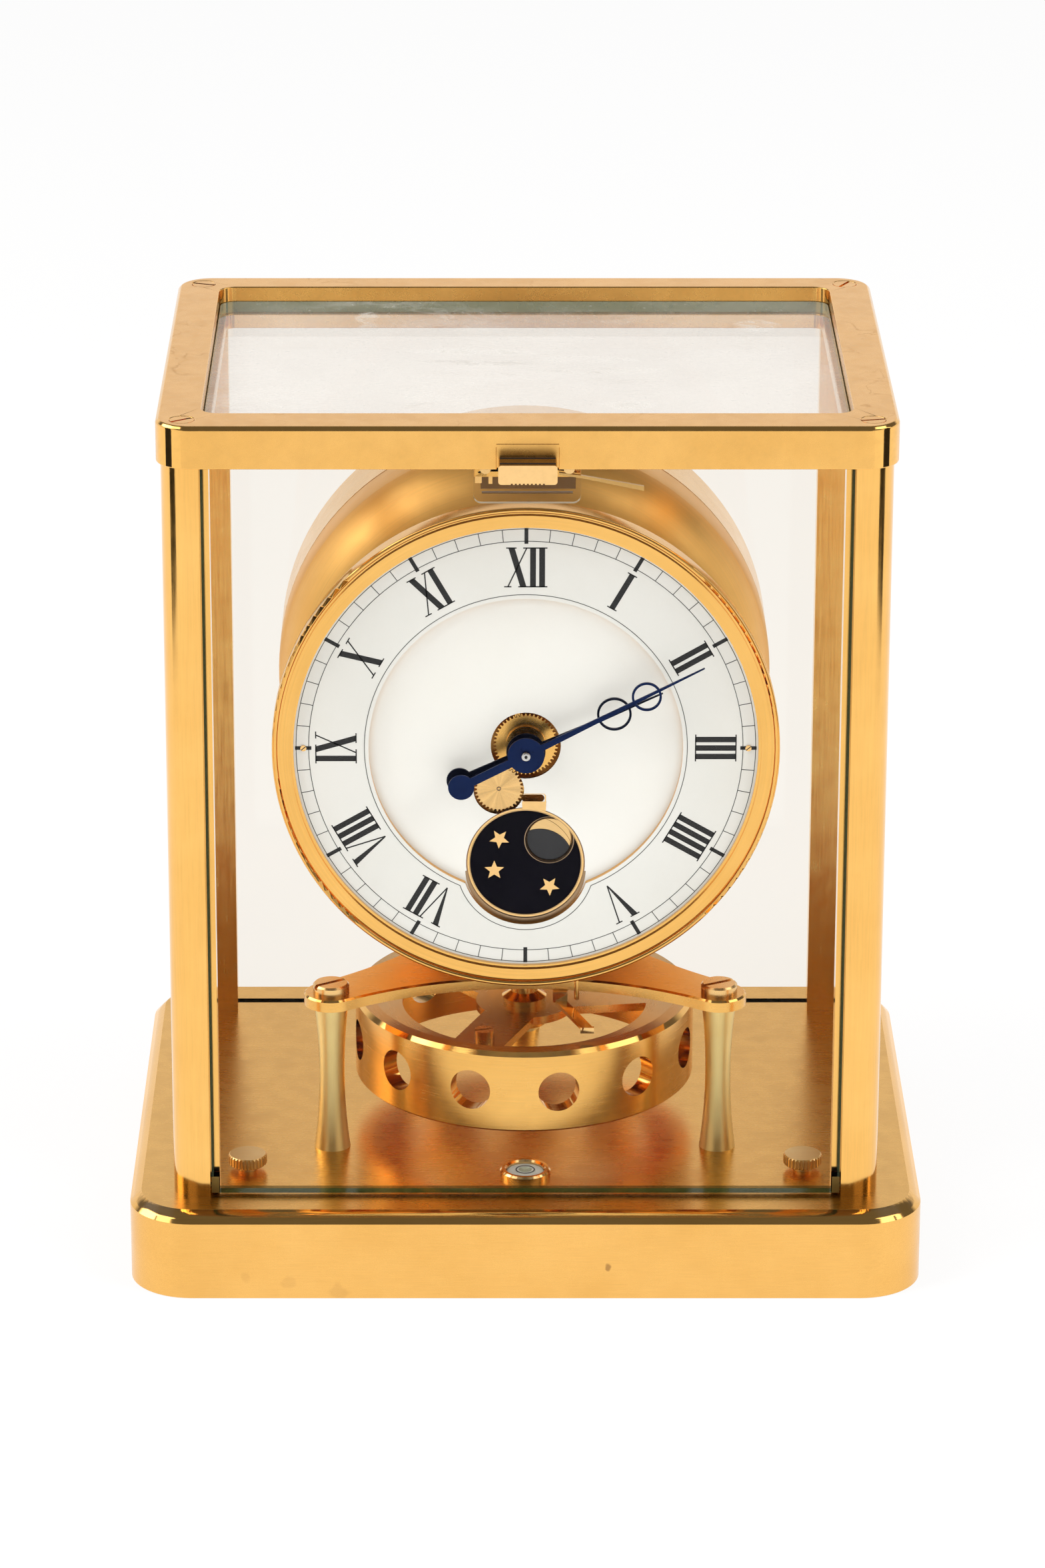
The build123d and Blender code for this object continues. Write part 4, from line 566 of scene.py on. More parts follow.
vial_fill = steel("vial_fill", (0.40, 0.40, 0.36), 0.15, metallic=0.0, gloss=0.2)
shoe_dark = steel("shoe_dark", (0.16, 0.10, 0.025), 0.35, metallic=0.6, gloss=0.2)
chapter_white = dial_enamel("dial_chapter", (0.86, 0.865, 0.84), GOLD, (0.90, 0.905, 0.89))
# The cut walls of the inner dial, round its openings, are a dark brown: painted shade
inner_white = dial_enamel("dial_inner", (0.965, 0.96, 0.93), (0.35, 0.2, 0.07), (0.985, 0.985, 0.965))
print_black = ink("print_black")
print_grey = ink("print_grey", (0.03, 0.03, 0.03))

LOOKS = {
    "base_plinth": base_gold, "top_frame": frame_gold,
    "front_posts": post_gold, "rear_posts": rear_gold,
    "platform": platform_gold, "platform_pillars": pillar_gold,
    "pendulum_ring": ring_gold, "pendulum_pin": screw_gold,
    "drum_shell": drum_gold, "drum_cover": cover_gold,
    "bezel": bezel_gold, "level_bezel": mirror_gold,
    "levelling_screw_left": knob_gold, "levelling_screw_right": knob_gold,
    "frame_screws": frame_gold, "platform_screws": screw_gold, "guard_screws": screw_gold,
    "dial_screws": mirror_gold, "lever_screw": screw_gold, "latch_button": mirror_gold,
    "sky_rim": mirror_gold, "sky_stars": mirror_gold, "lock_lever": mirror_gold,
    "lock_collar": mirror_gold, "suspension_bracket": plate_gold, "door_shoes": shoe_dark,
    "moon_disc": moon_gold, "moon_mask": moon_dark, "sky_plate": sky_black,
    "movement_front_plate": plate_gold, "movement_back_plate": plate_gold,
    "plate_pillars": plate_gold, "barrel": wheel_gold, "centre_wheel": wheel_gold,
    "escape_wheel": wheel_gold, "minute_wheel": wheel_gold, "hour_wheel": wheel_gold,
    "moon_idler": idler_gold, "moon_third_wheel": wheel_gold, "moon_wheel": wheel_gold,
    "bellows_capsule": plate_gold, "cannon_pinion": silver, "pallet_fork": silver,
    "torsion_wire": silver, "door_leaf_spring": mirror_gold, "bottom_cover_screws": silver,
    "levelling_foot_left": silver, "levelling_foot_right": silver,
    "hour_hand": blued_hour, "minute_hand": blued_minute,
    "front_glass": front_pane, "rear_glass": rear_pane, "side_glasses": side_pane,
    "top_glass": top_pane, "level_vial": vial_fill, "guard_plate": guard_clear,
    "chapter_ring": chapter_white, "inner_dial": inner_white, "bottom_cover": cover_black,
}

# Width of a softened edge, in millimetres
SOFT_EDGE = {
    "base_plinth": 0.25, "top_frame": 0.3, "front_posts": 0.2, "rear_posts": 0.2, "platform": 0.2,
    "bezel": 0.1, "platform_screws": 0.15, "latch_button": 0.2,
    "drum_shell": 0.15, "drum_cover": 0.2, "hour_hand": 0.08, "minute_hand": 0.08,
    "guard_plate": 0.15, "levelling_screw_left": 0.06, "levelling_screw_right": 0.06,
}


WELD = 0.002 * MM
CRISP_ANGLE, BEVEL_ANGLE = 26, 32


def crisp_edges(degrees):
    """Join the facets of a CAD node and keep its edges sharp above an angle."""
    group = bpy.data.node_groups.new(f"crisp_edges_{degrees}", "GeometryNodeTree")
    group.interface.new_socket("Geometry", in_out="INPUT", socket_type="NodeSocketGeometry")
    group.interface.new_socket("Geometry", in_out="OUTPUT", socket_type="NodeSocketGeometry")
    start = group.nodes.new("NodeGroupInput")
    end = group.nodes.new("NodeGroupOutput")
    merge = group.nodes.new("GeometryNodeMergeByDistance")
    merge.inputs["Distance"].default_value = WELD
    smooth = group.nodes.new("GeometryNodeSetShadeSmooth")
    smooth.domain = "FACE"
    sharp = group.nodes.new("GeometryNodeSetShadeSmooth")
    sharp.domain = "EDGE"
    sharp.inputs["Shade Smooth"].default_value = False
    angle = group.nodes.new("GeometryNodeInputMeshEdgeAngle")
    above = group.nodes.new("FunctionNodeCompare")
    above.data_type = "FLOAT"
    above.operation = "GREATER_THAN"
    above.inputs["B"].default_value = math.radians(degrees)
    group.links.new(start.outputs[0], merge.inputs["Geometry"])
    group.links.new(merge.outputs[0], smooth.inputs["Geometry"])
    group.links.new(smooth.outputs[0], sharp.inputs["Geometry"])
    group.links.new(angle.outputs["Unsigned Angle"], above.inputs["A"])
    group.links.new(above.outputs[0], sharp.inputs["Selection"])
    group.links.new(sharp.outputs[0], end.inputs[0])
    return group


CRISP = crisp_edges(CRISP_ANGLE)

for name, node in nodes.items():
    node.data.materials.clear()
    node.data.materials.append(LOOKS[name])
    crisp = node.modifiers.new("crisp", "NODES")
    crisp.node_group = CRISP
    if name in SOFT_EDGE:
        edge = node.modifiers.new("edge", "BEVEL")
        edge.width = SOFT_EDGE[name] * MM
        edge.segments = 2
        edge.limit_method = "ANGLE"
        edge.angle_limit = math.radians(BEVEL_ANGLE)
        edge.use_clamp_overlap = True
        edge.harden_normals = True


# Pieces


SAME_POINT = 0.0001 * MM


def add_object(name, mesh):
    """Object in the scene from a finished mesh."""
    data = bpy.data.meshes.new(name)
    mesh.to_mesh(data)
    mesh.free()
    piece = bpy.data.objects.new(name, data)
    bpy.context.scene.collection.objects.link(piece)
    return piece


def finish_piece(name, mesh, material, body):
    bmesh.ops.recalc_face_normals(mesh, faces=mesh.faces)
    piece = add_object(name, mesh)
    piece.data.materials.append(material)
    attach(piece, body)
    return piece


def flat_piece(name, outlines, y_front, depth, material, body):
    """Thin plate in the dial's plane, from closed (x, z) outlines in metres."""
    mesh = bmesh.new()
    for outline in outlines:
        front = [mesh.verts.new((x, y_front, z)) for x, z in outline]
        back = [mesh.verts.new((x, y_front + depth, z)) for x, z in outline]
        mesh.faces.new(front)
        mesh.faces.new(list(reversed(back)))
        count = len(outline)
        for i in range(count):
            j = (i + 1) % count
            mesh.faces.new((front[j], front[i], back[i], back[j]))
    return finish_piece(name, mesh, material, body)


def outline_of(*points):
    """Outline in metres, from points (x, z) in millimetres."""
    return [(x * MM, z * MM) for x, z in points]


def rectangle(left, low, right, high):
    return outline_of((left, low), (right, low), (right, high), (left, high))


def dial_point(radius, clock_angle):
    """Point at a radius and an angle clockwise from twelve, in metres."""
    a = math.radians(clock_angle)
    return (DIAL_X + radius * math.sin(a) * MM, DIAL_Z + radius * math.cos(a) * MM)


def arc_band(radius, width, start=0, end=360, steps=120, centre=(DIAL_X, DIAL_Z)):
    """Quads that follow a circle from one clock angle to another. Sizes are in millimetres."""
    def edge_points(share, outwards):
        a = math.radians(start + (end - start) * share)
        pair = [(centre[0] + r * MM * math.sin(a), centre[1] + r * MM * math.cos(a))
                for r in (radius - width / 2, radius + width / 2)]
        return pair if outwards else pair[::-1]

    return [edge_points(i / steps, True) + edge_points((i + 1) / steps, False) for i in range(steps)]


def band_piece(name, quads, y_front, depth, material, body):
    """One thin strip through quads that follow each other."""
    mesh = bmesh.new()
    closed = (Vector(quads[0][0]) - Vector(quads[-1][3])).length < SAME_POINT
    rows = [(q[0], q[1]) for q in quads]
    if not closed:
        rows.append((quads[-1][3], quads[-1][2]))
    ring = [[mesh.verts.new((p[0], y, p[1])) for y in (y_front, y_front + depth) for p in row]
            for row in rows]
    count = len(ring)
    for i in range(count if closed else count - 1):
        a, b = ring[i], ring[(i + 1) % count]
        mesh.faces.new((a[0], a[1], b[1], b[0]))
        mesh.faces.new((a[2], b[2], b[3], a[3]))
        mesh.faces.new((a[0], b[0], b[2], a[2]))
        mesh.faces.new((a[1], a[3], b[3], b[1]))
    if not closed:
        for row in (ring[0], ring[-1]):
            mesh.faces.new((row[0], row[2], row[3], row[1]))
    return finish_piece(name, mesh, material, body)


# Print on the chapter ring, a thin layer on its face
PRINT_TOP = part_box("chapter_ring")[0].y - 0.03 * MM
PRINT_DEPTH = 0.05 * MM

# Roman numerals, in millimetres. A stroke has its x at the foot and at the top and its width there.
# A serif has its left and right ends, and is at the top or not.
LETTER_LOW, LETTER_HIGH = 44.1, 54.9
STROKE, HAIR, SERIF = 1.5, 0.36, 0.30
STROKES = {
    "I": ((0, 0, STROKE, STROKE),),
    "X": ((1.6, -1.55, STROKE * 1.08, STROKE * 1.08), (-2.5, 2.5, HAIR, HAIR)),
    "V": ((0.1, -2.35, 0.3, 1.6), (0.115, 2.375, 0.33, 0.35)),
}
SERIFS = {
    "I": ((-1.37, 1.37, True), (-1.37, 1.37, False)),
    "X": ((-2.9, -0.2, True), (0.25, 2.95, False), (1.5, 3.4, True), (-3.4, -1.5, False)),
    "V": ((-3.7, -1.05, True), (1.43, 3.28, True)),
}
LETTER_ENDS = {"I": (-STROKE / 2, STROKE / 2), "X": (-2.5, 2.5), "V": (-3.1, 2.4)}
PITCH = {"II": 2.35, "XI": 4.05, "IX": 4.05, "VI": 3.75}


def letter(kind, x):
    """Outlines of one letter: x in millimetres and height as a share."""
    shapes = [[(x + foot - low_width / 2, 0), (x + foot + low_width / 2, 0),
               (x + top + high_width / 2, 1), (x + top - high_width / 2, 1)]
              for foot, top, low_width, high_width in STROKES[kind]]
    share = SERIF / (LETTER_HIGH - LETTER_LOW)
    for left, right, at_top in SERIFS[kind]:
        low, high = (1 - share, 1) if at_top else (0, share)
        shapes.append([(x + left, low), (x + right, low), (x + right, high), (x + left, high)])
    return shapes


def numeral(text):
    """Outlines of a Roman numeral about its own middle."""
    places = [0.0]
    for before, after in zip(text, text[1:]):
        places.append(places[-1] + PITCH[before + after])
    middle = (LETTER_ENDS[text[0]][0] + places[-1] + LETTER_ENDS[text[-1]][1]) / 2
    return [shape for kind, x in zip(text, places) for shape in letter(kind, x - middle)]


def set_numeral(text, clock_angle):
    outlines = []
    a = math.radians(clock_angle)
    for shape in numeral(text):
        points = []
        for px, share in shape:
            height = LETTER_LOW + (LETTER_HIGH - LETTER_LOW) * share
            x = height * math.sin(a) + px * math.cos(a)
            z = height * math.cos(a) - px * math.sin(a)
            points.append((DIAL_X + x * MM, DIAL_Z + z * MM))
        outlines.append(points)
    return outlines


def print_piece(name, outlines):
    flat_piece(name, outlines, PRINT_TOP, PRINT_DEPTH, print_black, "case")


def print_line(name, quads, ink_look=print_black):
    band_piece(name, quads, PRINT_TOP, PRINT_DEPTH, ink_look, "case")


# The six is left out, where the moon dial is. The five stands a little past its mark.
HOURS = {12: "XII", 1: "I", 2: "II", 3: "III", 4: "IIII", 5: "V",
         7: "VII", 8: "VIII", 9: "IX", 10: "X", 11: "XI"}
HOUR_ANGLE, FIVE_SHIFT = 30, 0.3
for hour, text in HOURS.items():
    angle = hour % 12 * HOUR_ANGLE + (FIVE_SHIFT if hour == 5 else 0)
    print_piece(f"numeral_{hour}", set_numeral(text, angle))

TRACK_IN, TRACK_OUT, TRACK_LINE, TRACK_STEPS = 56.6, 59.9, 0.17, 240
MARK_IN, MARK_OUT = 55.9, 60.15
TICK_WIDTH, MARK_WIDTH = 0.18, 1.0
print_line("minute_circle_outer", arc_band(TRACK_OUT, TRACK_LINE, steps=TRACK_STEPS))
print_line("minute_circle_inner", arc_band(TRACK_IN, TRACK_LINE, steps=TRACK_STEPS))
ticks, marks = [], []
for minute in range(60):
    a = minute * 6
    if minute % 5:
        width, low, high, group = TICK_WIDTH, TRACK_IN, TRACK_OUT, ticks
    else:
        width, low, high, group = MARK_WIDTH, MARK_IN, MARK_OUT, marks
    side_x = math.cos(math.radians(a)) * width / 2 * MM
    side_z = -math.sin(math.radians(a)) * width / 2 * MM
    (x0, z0), (x1, z1) = dial_point(low, a), dial_point(high, a)
    group.append([(x0 - side_x, z0 - side_z), (x0 + side_x, z0 + side_z),
                  (x1 + side_x, z1 + side_z), (x1 - side_x, z1 - side_z)])
print_piece("minute_ticks", ticks)
print_piece("five_minute_marks", marks)

# Thin line round the opening: a large circle that swells round the moon dial
LINE_R, SWELL_R, LINE_WIDTH = 42.1, 18.1, 0.18
DROP = (DIAL_Z - MOON_Z) / MM
MOON_CENTRE = (0, MOON_Z)
meet = (LINE_R ** 2 - SWELL_R ** 2 + DROP ** 2) / (2 * DROP)
half_width = math.sqrt(LINE_R ** 2 - meet ** 2)
big = math.degrees(math.atan2(half_width, -meet))
small = math.degrees(math.atan2(half_width, DROP - meet))
print_line("opening_line", arc_band(LINE_R, LINE_WIDTH, -big, big, steps=200), print_grey)
swell = arc_band(SWELL_R, LINE_WIDTH, small, 360 - small, steps=90, centre=MOON_CENTRE)
print_line("moon_swell_line", swell, print_grey)


# Turned pieces


def turned_piece(name, profile, centre, axis, material, body, steps, closed=True):
    """Ring turned from (radius, height) points in millimetres round Y or Z."""
    mesh = bmesh.new()
    rows = []
    for i in range(steps):
        a = 2 * math.pi * i / steps
        row = []
        for radius, height in profile:
            c, s = math.cos(a) * radius * MM, math.sin(a) * radius * MM
            offset = (c, height * MM, s) if axis == "Y" else (c, s, height * MM)
            row.append(mesh.verts.new([centre[k] + offset[k] for k in range(3)]))
        rows.append(row)
    count = len(profile)
    for i in range(steps):
        a, b = rows[i], rows[(i + 1) % steps]
        for k in range(count if closed else count - 1):
            n = (k + 1) % count
            mesh.faces.new((a[k], a[n], b[n], b[k]))
    bmesh.ops.remove_doubles(mesh, verts=mesh.verts, dist=SAME_POINT)
    for face in mesh.faces:
        face.smooth = True
    return finish_piece(name, mesh, material, body)


# Bevelled rim of the moon window, seated on the sky plate
MOON_WINDOW = (6.2 * MM, 0, 111.3 * MM)
sky_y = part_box("sky_plate")[0].y / MM
turned_piece(
    "moon_window_rim",
    [(5.75, sky_y + 0.45), (6.35, sky_y - 0.02), (6.55, sky_y - 0.08), (6.6, sky_y + 0.02),
     (6.08, sky_y + 0.02), (6.08, sky_y + 0.5)],
    MOON_WINDOW, "Y", shade_and_bevel_brown, "case", steps=64,
)

# Dark mask on the moon disc, a round shape that leaves a crescent free
mask_low, mask_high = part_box("moon_mask")
MASK_X, MASK_Z, MASK_R, MASK_STEPS = 3.8, 105.5, 8.6, 96
mask = outline_of(*((MASK_X + MASK_R * math.cos(a), MASK_Z + MASK_R * math.sin(a))
                    for a in (2 * math.pi * i / MASK_STEPS for i in range(MASK_STEPS))))
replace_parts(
    flat_piece("moon_shadow", [mask], mask_low.y, mask_high.y - mask_low.y, moon_dark,
               "moon_wheel"),
    "moon_mask",
)

# Painted shade: a brown film on the dial face for the shaded wall of the well round the moon dial,
# widest below it
DIAL_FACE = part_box("inner_dial")[0].y
FILM = 0.06 * MM
WELL_STEPS, WELL_START, WELL_END = 90, 98, 262
WELL_IN, WELL_OUT, WELL_SWELL = 15.45, 15.65, 1.3


def well_points(share):
    a = math.radians(WELL_START + (WELL_END - WELL_START) * share)
    outer = WELL_OUT + WELL_SWELL * abs(math.cos(a)) ** 0.7
    return [(radius * math.sin(a) * MM, MOON_Z + radius * math.cos(a) * MM)
            for radius in (WELL_IN, outer)]


well = [well_points(k / WELL_STEPS) + well_points((k + 1) / WELL_STEPS)[::-1]
        for k in range(WELL_STEPS)]
band_piece("moon_well_shade", well, DIAL_FACE - FILM, FILM, shade_and_bevel_brown, "case")

# Polished end of the centre arbor, with its bore
arbor_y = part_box("centre_wheel")[0].y / MM
DIAL_CENTRE = (DIAL_X, 0, DIAL_Z)
turned_piece(
    "arbor_cap",
    [(0.35, arbor_y - 0.01), (0.35, arbor_y - 0.08), (0.5, arbor_y - 0.14), (1.05, arbor_y - 0.12),
     (1.2, arbor_y), (1.2, arbor_y + 0.25), (1.1, arbor_y + 0.25), (1.1, arbor_y - 0.01)],
    DIAL_CENTRE, "Y", silver, "minute_arbor", steps=40,
)
# The bore is a black disc inside the cap: painted shade in the hole
turned_piece(
    "arbor_bore",
    [(0.0, arbor_y - 0.05), (0.36, arbor_y - 0.05), (0.36, arbor_y - 0.02), (0.0, arbor_y - 0.02)],
    DIAL_CENTRE, "Y", print_black, "minute_arbor", steps=24, closed=False,
)

# Pin of the idler, seen at its centre
pin_y = idler_low.y / MM
turned_piece(
    "idler_pin",
    [(0.3, pin_y + 0.01), (0.3, pin_y - 0.05), (0.42, pin_y - 0.1), (0.6, pin_y - 0.04),
     (0.6, pin_y + 0.01)],
    IDLER_CENTRE, "Y", shade_and_bevel_brown, "moon_idler", steps=28,
)

# Gold tongue with the slot above the moon dial
flat_piece(
    "moon_dial_tongue",
    [outline_of((-0.9, 120.35), (2.5, 120.2), (5.3, 119.6), (5.4, 122.25), (-0.9, 122.3)),
     outline_of((5.02, 122.25), (5.35, 122.25), (5.3, 123.9), (4.9, 124.4), (4.85, 124.2),
                (5.0, 123.8)),
     rectangle(-0.7, 124.27, 4.9, 124.42)],
    DIAL_FACE - FILM, FILM, mirror_gold, "case",
)

# Gold ground of the well round the turning moon disc
GROUND_R, GROUND_WIDTH, GROUND_DEPTH = 13.8, 1.4, 0.3 * MM
band_piece("moon_well_ground", arc_band(GROUND_R, GROUND_WIDTH, centre=MOON_CENTRE),
           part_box("moon_disc")[0].y + 0.02 * MM, GROUND_DEPTH, moon_gold, "case")

# Three stars, two of them point down
STAR_R, STAR_WAIST, STAR_CORNERS = 2.72, 0.44, 10
STARS = ((-6.85, 6.6, 184), (-8.2, -2.2, 0), (6.35, -6.7, 178))
star_low, star_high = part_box("sky_stars")


def star(x, z, turn):
    """Outline of a star about a place on the moon dial, in millimetres."""
    corners = []
    for k in range(STAR_CORNERS):
        radius = STAR_R * STAR_WAIST if k % 2 else STAR_R
        a = math.radians(turn + 360 / STAR_CORNERS * k)
        corners.append((x + radius * math.sin(a), MOON_Z / MM + z + radius * math.cos(a)))
    return outline_of(*corners)


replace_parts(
    flat_piece("stars", [star(*where) for where in STARS], star_low.y, star_high.y - star_low.y,
               mirror_gold, "case"),
    "sky_stars",
)

# Dark lines at both edges of the sky's rim
RIM_LINES, RIM_LINE_WIDTH = (14.75, 15.33), 0.13
rim_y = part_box("sky_rim")[0].y
for radius in RIM_LINES:
    band_piece(f"sky_rim_line_{round(radius * 100)}",
               arc_band(radius, RIM_LINE_WIDTH, centre=MOON_CENTRE),
               rim_y - 0.02 * MM, 0.04 * MM, shade_and_bevel_brown, "case")

# Plate of the latch that covers the slot in the top frame
latch_low, latch_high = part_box("latch_button")
face_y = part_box("top_frame")[0].y
SKIRT_HALF, SKIRT_LOW, SKIRT_HIGH = 7.85, 224.6, 230.6
SKIRT_DEPTH, SKIRT_GAP = 0.25 * MM, 0.05 * MM
flat_piece(
    "latch_skirt", [rectangle(-SKIRT_HALF, SKIRT_LOW, SKIRT_HALF, SKIRT_HIGH)],
    face_y - SKIRT_GAP - SKIRT_DEPTH, SKIRT_DEPTH, frame_gold, "latch",
)
# Two dark lines across the top of the latch: a painted reflection along its front edge and a painted
# shadow of the notch further back
PAINTED_LINE_INSETS, PAINTED_LINE_WIDTH, PAINTED_LINE_HALF = (1.2, 5.8), 1.1 * MM, 7.0
top_z = latch_high.z / MM
for k, inset in enumerate(PAINTED_LINE_INSETS):
    flat_piece(
        f"latch_painted_line_{k + 1}",
        [rectangle(-PAINTED_LINE_HALF, top_z - 0.01, PAINTED_LINE_HALF, top_z + 0.04)],
        latch_low.y + inset * MM, PAINTED_LINE_WIDTH, print_black, "latch",
    )

# Painted shade under the frame: a dark brown sheet behind the clear guard, with two brass bits
guard_low, guard_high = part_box("guard_plate")
flat_piece(
    "guard_painted_shade", [rectangle(-11.8, 214.9, 12.3, 221.0), rectangle(-11.5, 213.6, 11.6, 213.9)],
    guard_high.y + 0.1 * MM, 1.2 * MM, painted_shade_brown, "case",
)
flat_piece(
    "guard_bits", [rectangle(-13.2, 216.4, -11.5, 219.1), rectangle(-9.8, 216.2, -8.8, 218.8)],
    guard_high.y + 0.02 * MM, 0.4 * MM, mirror_gold, "case",
)

# Thin leaf on the guard
LEAF_DEPTH = 0.9 * MM
leaf = outline_of((8.0, 219.9), (8.0, 219.3), (14.0, 218.4), (29.5, 215.1), (29.5, 216.3),
                  (14.0, 219.1))
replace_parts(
    flat_piece("leaf_blade", [leaf], guard_low.y - LEAF_DEPTH, LEAF_DEPTH, leaf_gold, "case"),
    "door_leaf_spring",
)

# Bubble and marking circle on the level
vial_low, vial_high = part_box("level_vial")
LEVEL_CENTRE = (0.0, (vial_low.y + vial_high.y) / 2, 0)
vial_top = vial_high.z / MM
turned_piece(
    "level_bubble",
    [(0.0, vial_top + 0.22), (0.9, vial_top + 0.2), (1.5, vial_top + 0.12), (1.75, vial_top + 0.01),
     (0.0, vial_top + 0.01)],
    LEVEL_CENTRE, "Z", vial_glass, "case", steps=32, closed=False,
)
turned_piece(
    "level_circle",
    [(2.3, vial_top + 0.04), (2.55, vial_top + 0.04), (2.55, vial_top + 0.01),
     (2.3, vial_top + 0.01)],
    LEVEL_CENTRE, "Z", print_black, "case", steps=48,
)

# Slots of the two dial screws, black films on their heads: painted shade in the slots
SLOT_HALF_LONG, SLOT_HALF_WIDE, SLOT_TURN, SCREW_X = 0.78 * MM, 0.11 * MM, math.radians(40), 58 * MM
slot_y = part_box("dial_screws")[0].y
for side, side_name in ((-1, "left"), (1, "right")):
    corners = []
    for a, b in ((-1, -1), (1, -1), (1, 1), (-1, 1)):
        u, v = a * SLOT_HALF_LONG, b * SLOT_HALF_WIDE
        corners.append((side * SCREW_X + u * math.cos(SLOT_TURN) - v * math.sin(SLOT_TURN),
                        DIAL_Z + u * math.sin(SLOT_TURN) + v * math.cos(SLOT_TURN)))
    flat_piece(f"dial_screw_slot_{side_name}", [corners], slot_y - 0.02 * MM, 0.04 * MM,
               print_black, "case")


# Stage

# Strength of the light from all round, on what isn't glossy
LIT = 0.62
FLOOR_SIZE, FLOOR_DROP, FLOOR_SHARE = 8, 0.2 * MM, 0.85


def high_boxes(tree, x, y, z):
    """Light of two slanted boxes high at both sides. The right one is lower."""
    sideways = maths(tree, "ABSOLUTE", x)
    on_right = maths(tree, "GREATER_THAN", x, 0.0)
    edge = maths(tree, "SUBTRACT", maths(tree, "MULTIPLY_ADD", sideways, 1.2, -0.54),
                 maths(tree, "MULTIPLY", on_right, 0.09))
    return product(
        tree,
        spread(tree, sideways, 0.34, 0.39, 0.0, 1.0),
        spread(tree, z, 0.36, 0.46, 0.0, 2.3),
        spread(tree, y, -0.285, -0.26, 0.0, 1.0),
        spread(tree, maths(tree, "SUBTRACT", edge, y), 0.0, 0.05, 0.0, 1.0),
        spread(tree, y, 0.11, 0.16, 1.0, 0.0),
    )


def studio(tree, x, y, z):
    """What metal sees in a direction: boxes, a white wall behind and a dark ceiling.

    The parts of the direction, up to one each, point right, back and up."""
    left_box = product(
        tree,
        spread(tree, x, -0.62, -0.55, 4.0, 0.0),
        spread(tree, z, 0.40, 0.50, 0.0, 1.0),
        spread(tree, y, 0.42, 0.50, 1.0, 0.0),
        spread(tree, y, -0.1, 0.0, 0.0, 1.0),
    )
    behind = spread(tree, maths(tree, "SUBTRACT", y, z), 0.2, 0.48, 0.0, 1.0)
    wall = maths(tree, "MULTIPLY_ADD", behind, 0.78, 0.14)
    sideways = maths(tree, "ABSOLUTE", x)
    beside = product(tree, spread(tree, sideways, 0.34, 0.50, 0.0, 0.9),
                     spread(tree, z, 0.30, 0.42, 1.0, 0.0))
    return largest(tree, high_boxes(tree, x, y, z), left_box, wall, beside)


world = bpy.data.worlds.new("world")
bpy.context.scene.world = world
world.use_nodes = True
tree = world.node_tree
tree.nodes.clear()
out = tree.nodes.new("ShaderNodeOutputWorld")
lit = closure(tree, "Background", (1, 1, 1))
lit.inputs["Strength"].default_value = LIT
seen = closure(tree, "Background", (1, 1, 1))
heading = parts_of(tree, tree.nodes.new("ShaderNodeTexCoord").outputs["Generated"])
path = tree.nodes.new("ShaderNodeLightPath").outputs
plain = maths(tree, "MAXIMUM", path["Is Camera Ray"], path["Is Transmission Ray"])
reflected = product(tree, maths(tree, "SUBTRACT", 1.0, plain), studio(tree, *heading[:3]))
link(tree, maths(tree, "ADD", plain, reflected), seen.inputs["Strength"])
share = maths(tree, "MAXIMUM", plain, path["Is Glossy Ray"])
link(tree, mix_shaders(tree, share, lit.outputs[0], seen.outputs[0]), out.inputs[0])


def stage_plane(name, width, depth, location, material):
    mesh = bmesh.new()
    bmesh.ops.create_grid(mesh, x_segments=1, y_segments=1, size=0.5)
    plane = add_object(name, mesh)
    plane.scale = (width, depth, 1)
    plane.location = location
    plane.data.materials.append(material)
    return plane


floor_material, tree, shader, output = new_material("floor_pale")
shader.inputs["Base Color"].default_value = (0.93, 0.92, 0.91, 1)
shader.inputs["Roughness"].default_value = 0.7
shader.inputs["Specular IOR Level"].default_value = 0.2
glow = closure(tree, "Emission", (1, 1, 1))
path = tree.nodes.new("ShaderNodeLightPath").outputs
share = maths(tree, "MAXIMUM", path["Is Camera Ray"], path["Is Glossy Ray"])
share = maths(tree, "MULTIPLY", share, FLOOR_SHARE)
link(tree, mix_shaders(tree, share, shader.outputs[0], glow.outputs[0]), output.inputs[0])
stage_plane("floor", FLOOR_SIZE, FLOOR_SIZE, (0, 0, -FLOOR_DROP), floor_material)


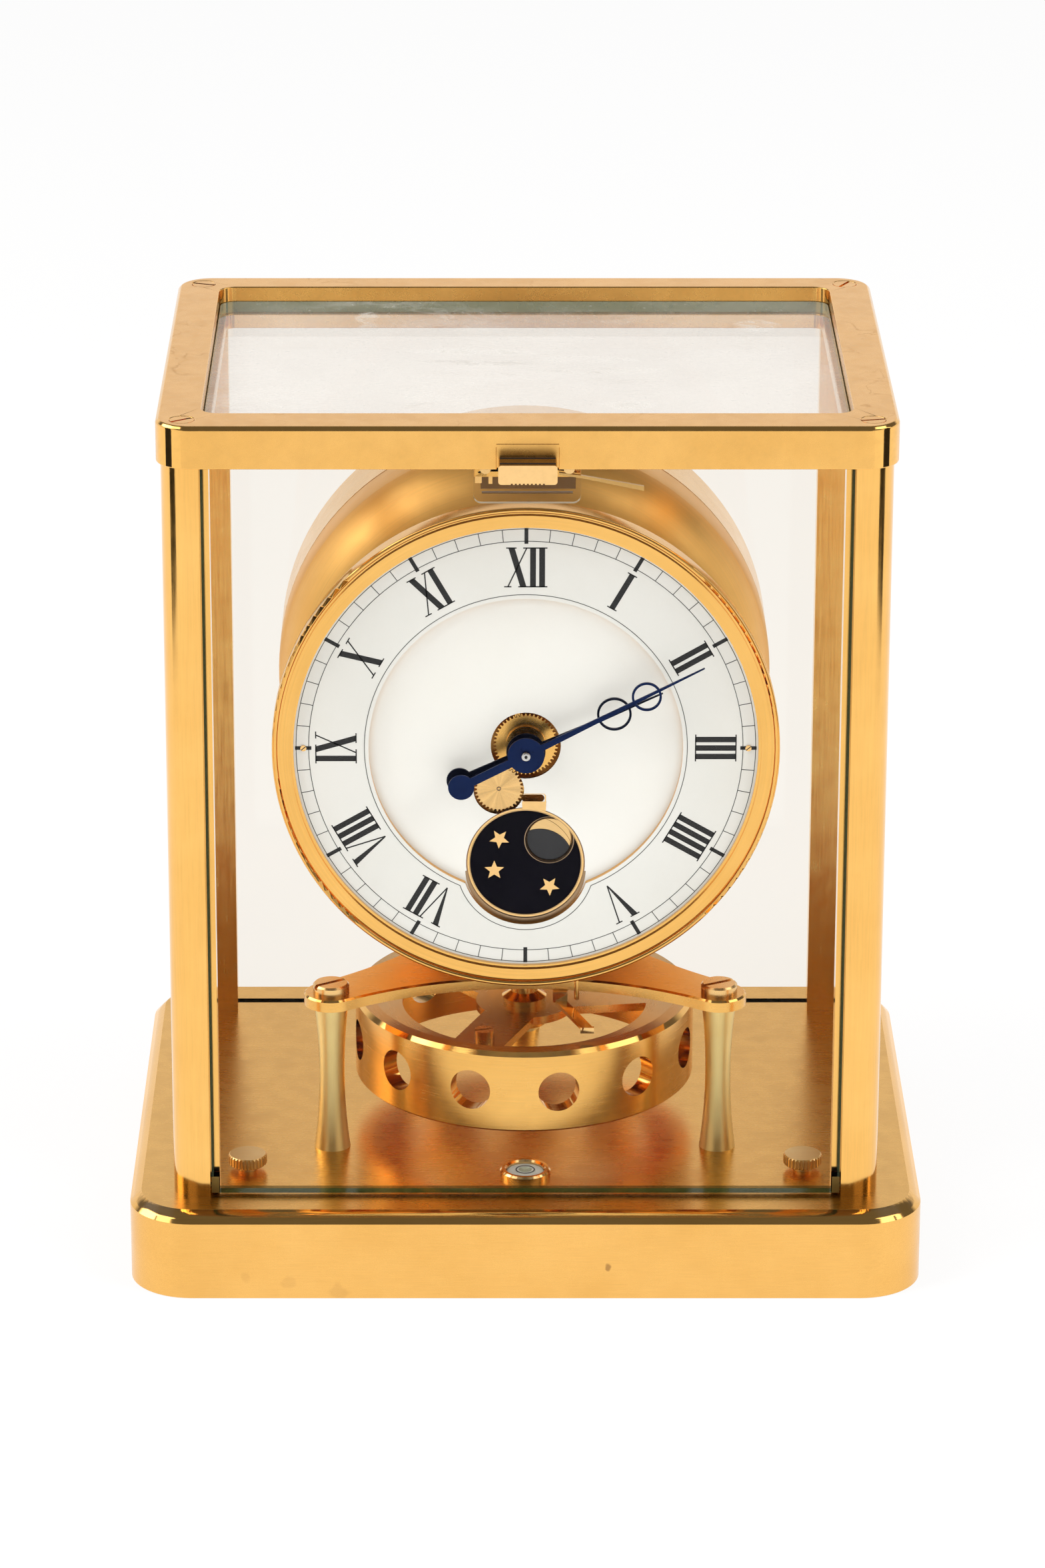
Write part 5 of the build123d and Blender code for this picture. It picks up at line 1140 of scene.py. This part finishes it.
CARD_TONE = (0.02, 0.02, 0.02)
CARD_SIZE, CARD_X, CARD_Y, CARD_Z = (0.25, 0.9), 0.62, -0.2, 0.125
LAMP_SIZE, LAMP_X, LAMP_Y, LAMP_Z = (0.9, 1.3), 1.25, -0.5, 1.35
CLOCK_MIDDLE = (0, 0, 0.12)


def point_at(thing, target):
    thing.rotation_euler = (Vector(target) - thing.location).to_track_quat("-Z", "Y").to_euler()


def dark_card(name, width, depth, location, target):
    """Dark screen that only reflections see."""
    material, tree, shader, _ = new_material(name)
    shader.inputs["Base Color"].default_value = (*CARD_TONE, 1)
    shader.inputs["Roughness"].default_value = 1.0
    shader.inputs["Specular IOR Level"].default_value = 0.0
    card = stage_plane(name, width, depth, location, material)
    point_at(card, target)
    card.visible_camera = False
    card.visible_diffuse = False
    card.visible_shadow = False
    card.visible_transmission = False
    return card


def soft_light(name, size_x, size_y, location, target, power):
    data = bpy.data.lights.new(name, "AREA")
    data.shape = "RECTANGLE"
    data.size, data.size_y = size_x, size_y
    data.energy = power
    lamp = bpy.data.objects.new(name, data)
    lamp.location = location
    point_at(lamp, target)
    lamp.visible_glossy = False
    bpy.context.scene.collection.objects.link(lamp)
    return lamp


for side, name, power in ((-1, "left", 26), (1, "right", 22)):
    dark_card(f"flag_{name}", *CARD_SIZE, (side * CARD_X, CARD_Y, CARD_Z), (0, CARD_Y, CARD_Z))
    soft_light(f"soft_{name}", *LAMP_SIZE, (side * LAMP_X, LAMP_Y, LAMP_Z), CLOCK_MIDDLE, power)

# Camera fitted to the photograph
CAMERA_PLACE, CAMERA_PITCH = (-0.01158, -1.50073, 0.66676), 69.782
CAMERA_LENS, CAMERA_SHIFT = 137.05, 0.0262
camera_data = bpy.data.cameras.new("camera")
camera = bpy.data.objects.new("camera", camera_data)
bpy.context.scene.collection.objects.link(camera)
camera.location = CAMERA_PLACE
camera.rotation_euler = (math.radians(CAMERA_PITCH), 0, 0)
camera_data.lens = CAMERA_LENS
camera_data.shift_x = CAMERA_SHIFT
bpy.context.scene.camera = camera
bpy.context.scene.view_settings.view_transform = "Standard"
# Sight goes through several panes and comes back through others
PANE_BOUNCES = 24
bpy.context.scene.cycles.transparent_max_bounces = PANE_BOUNCES
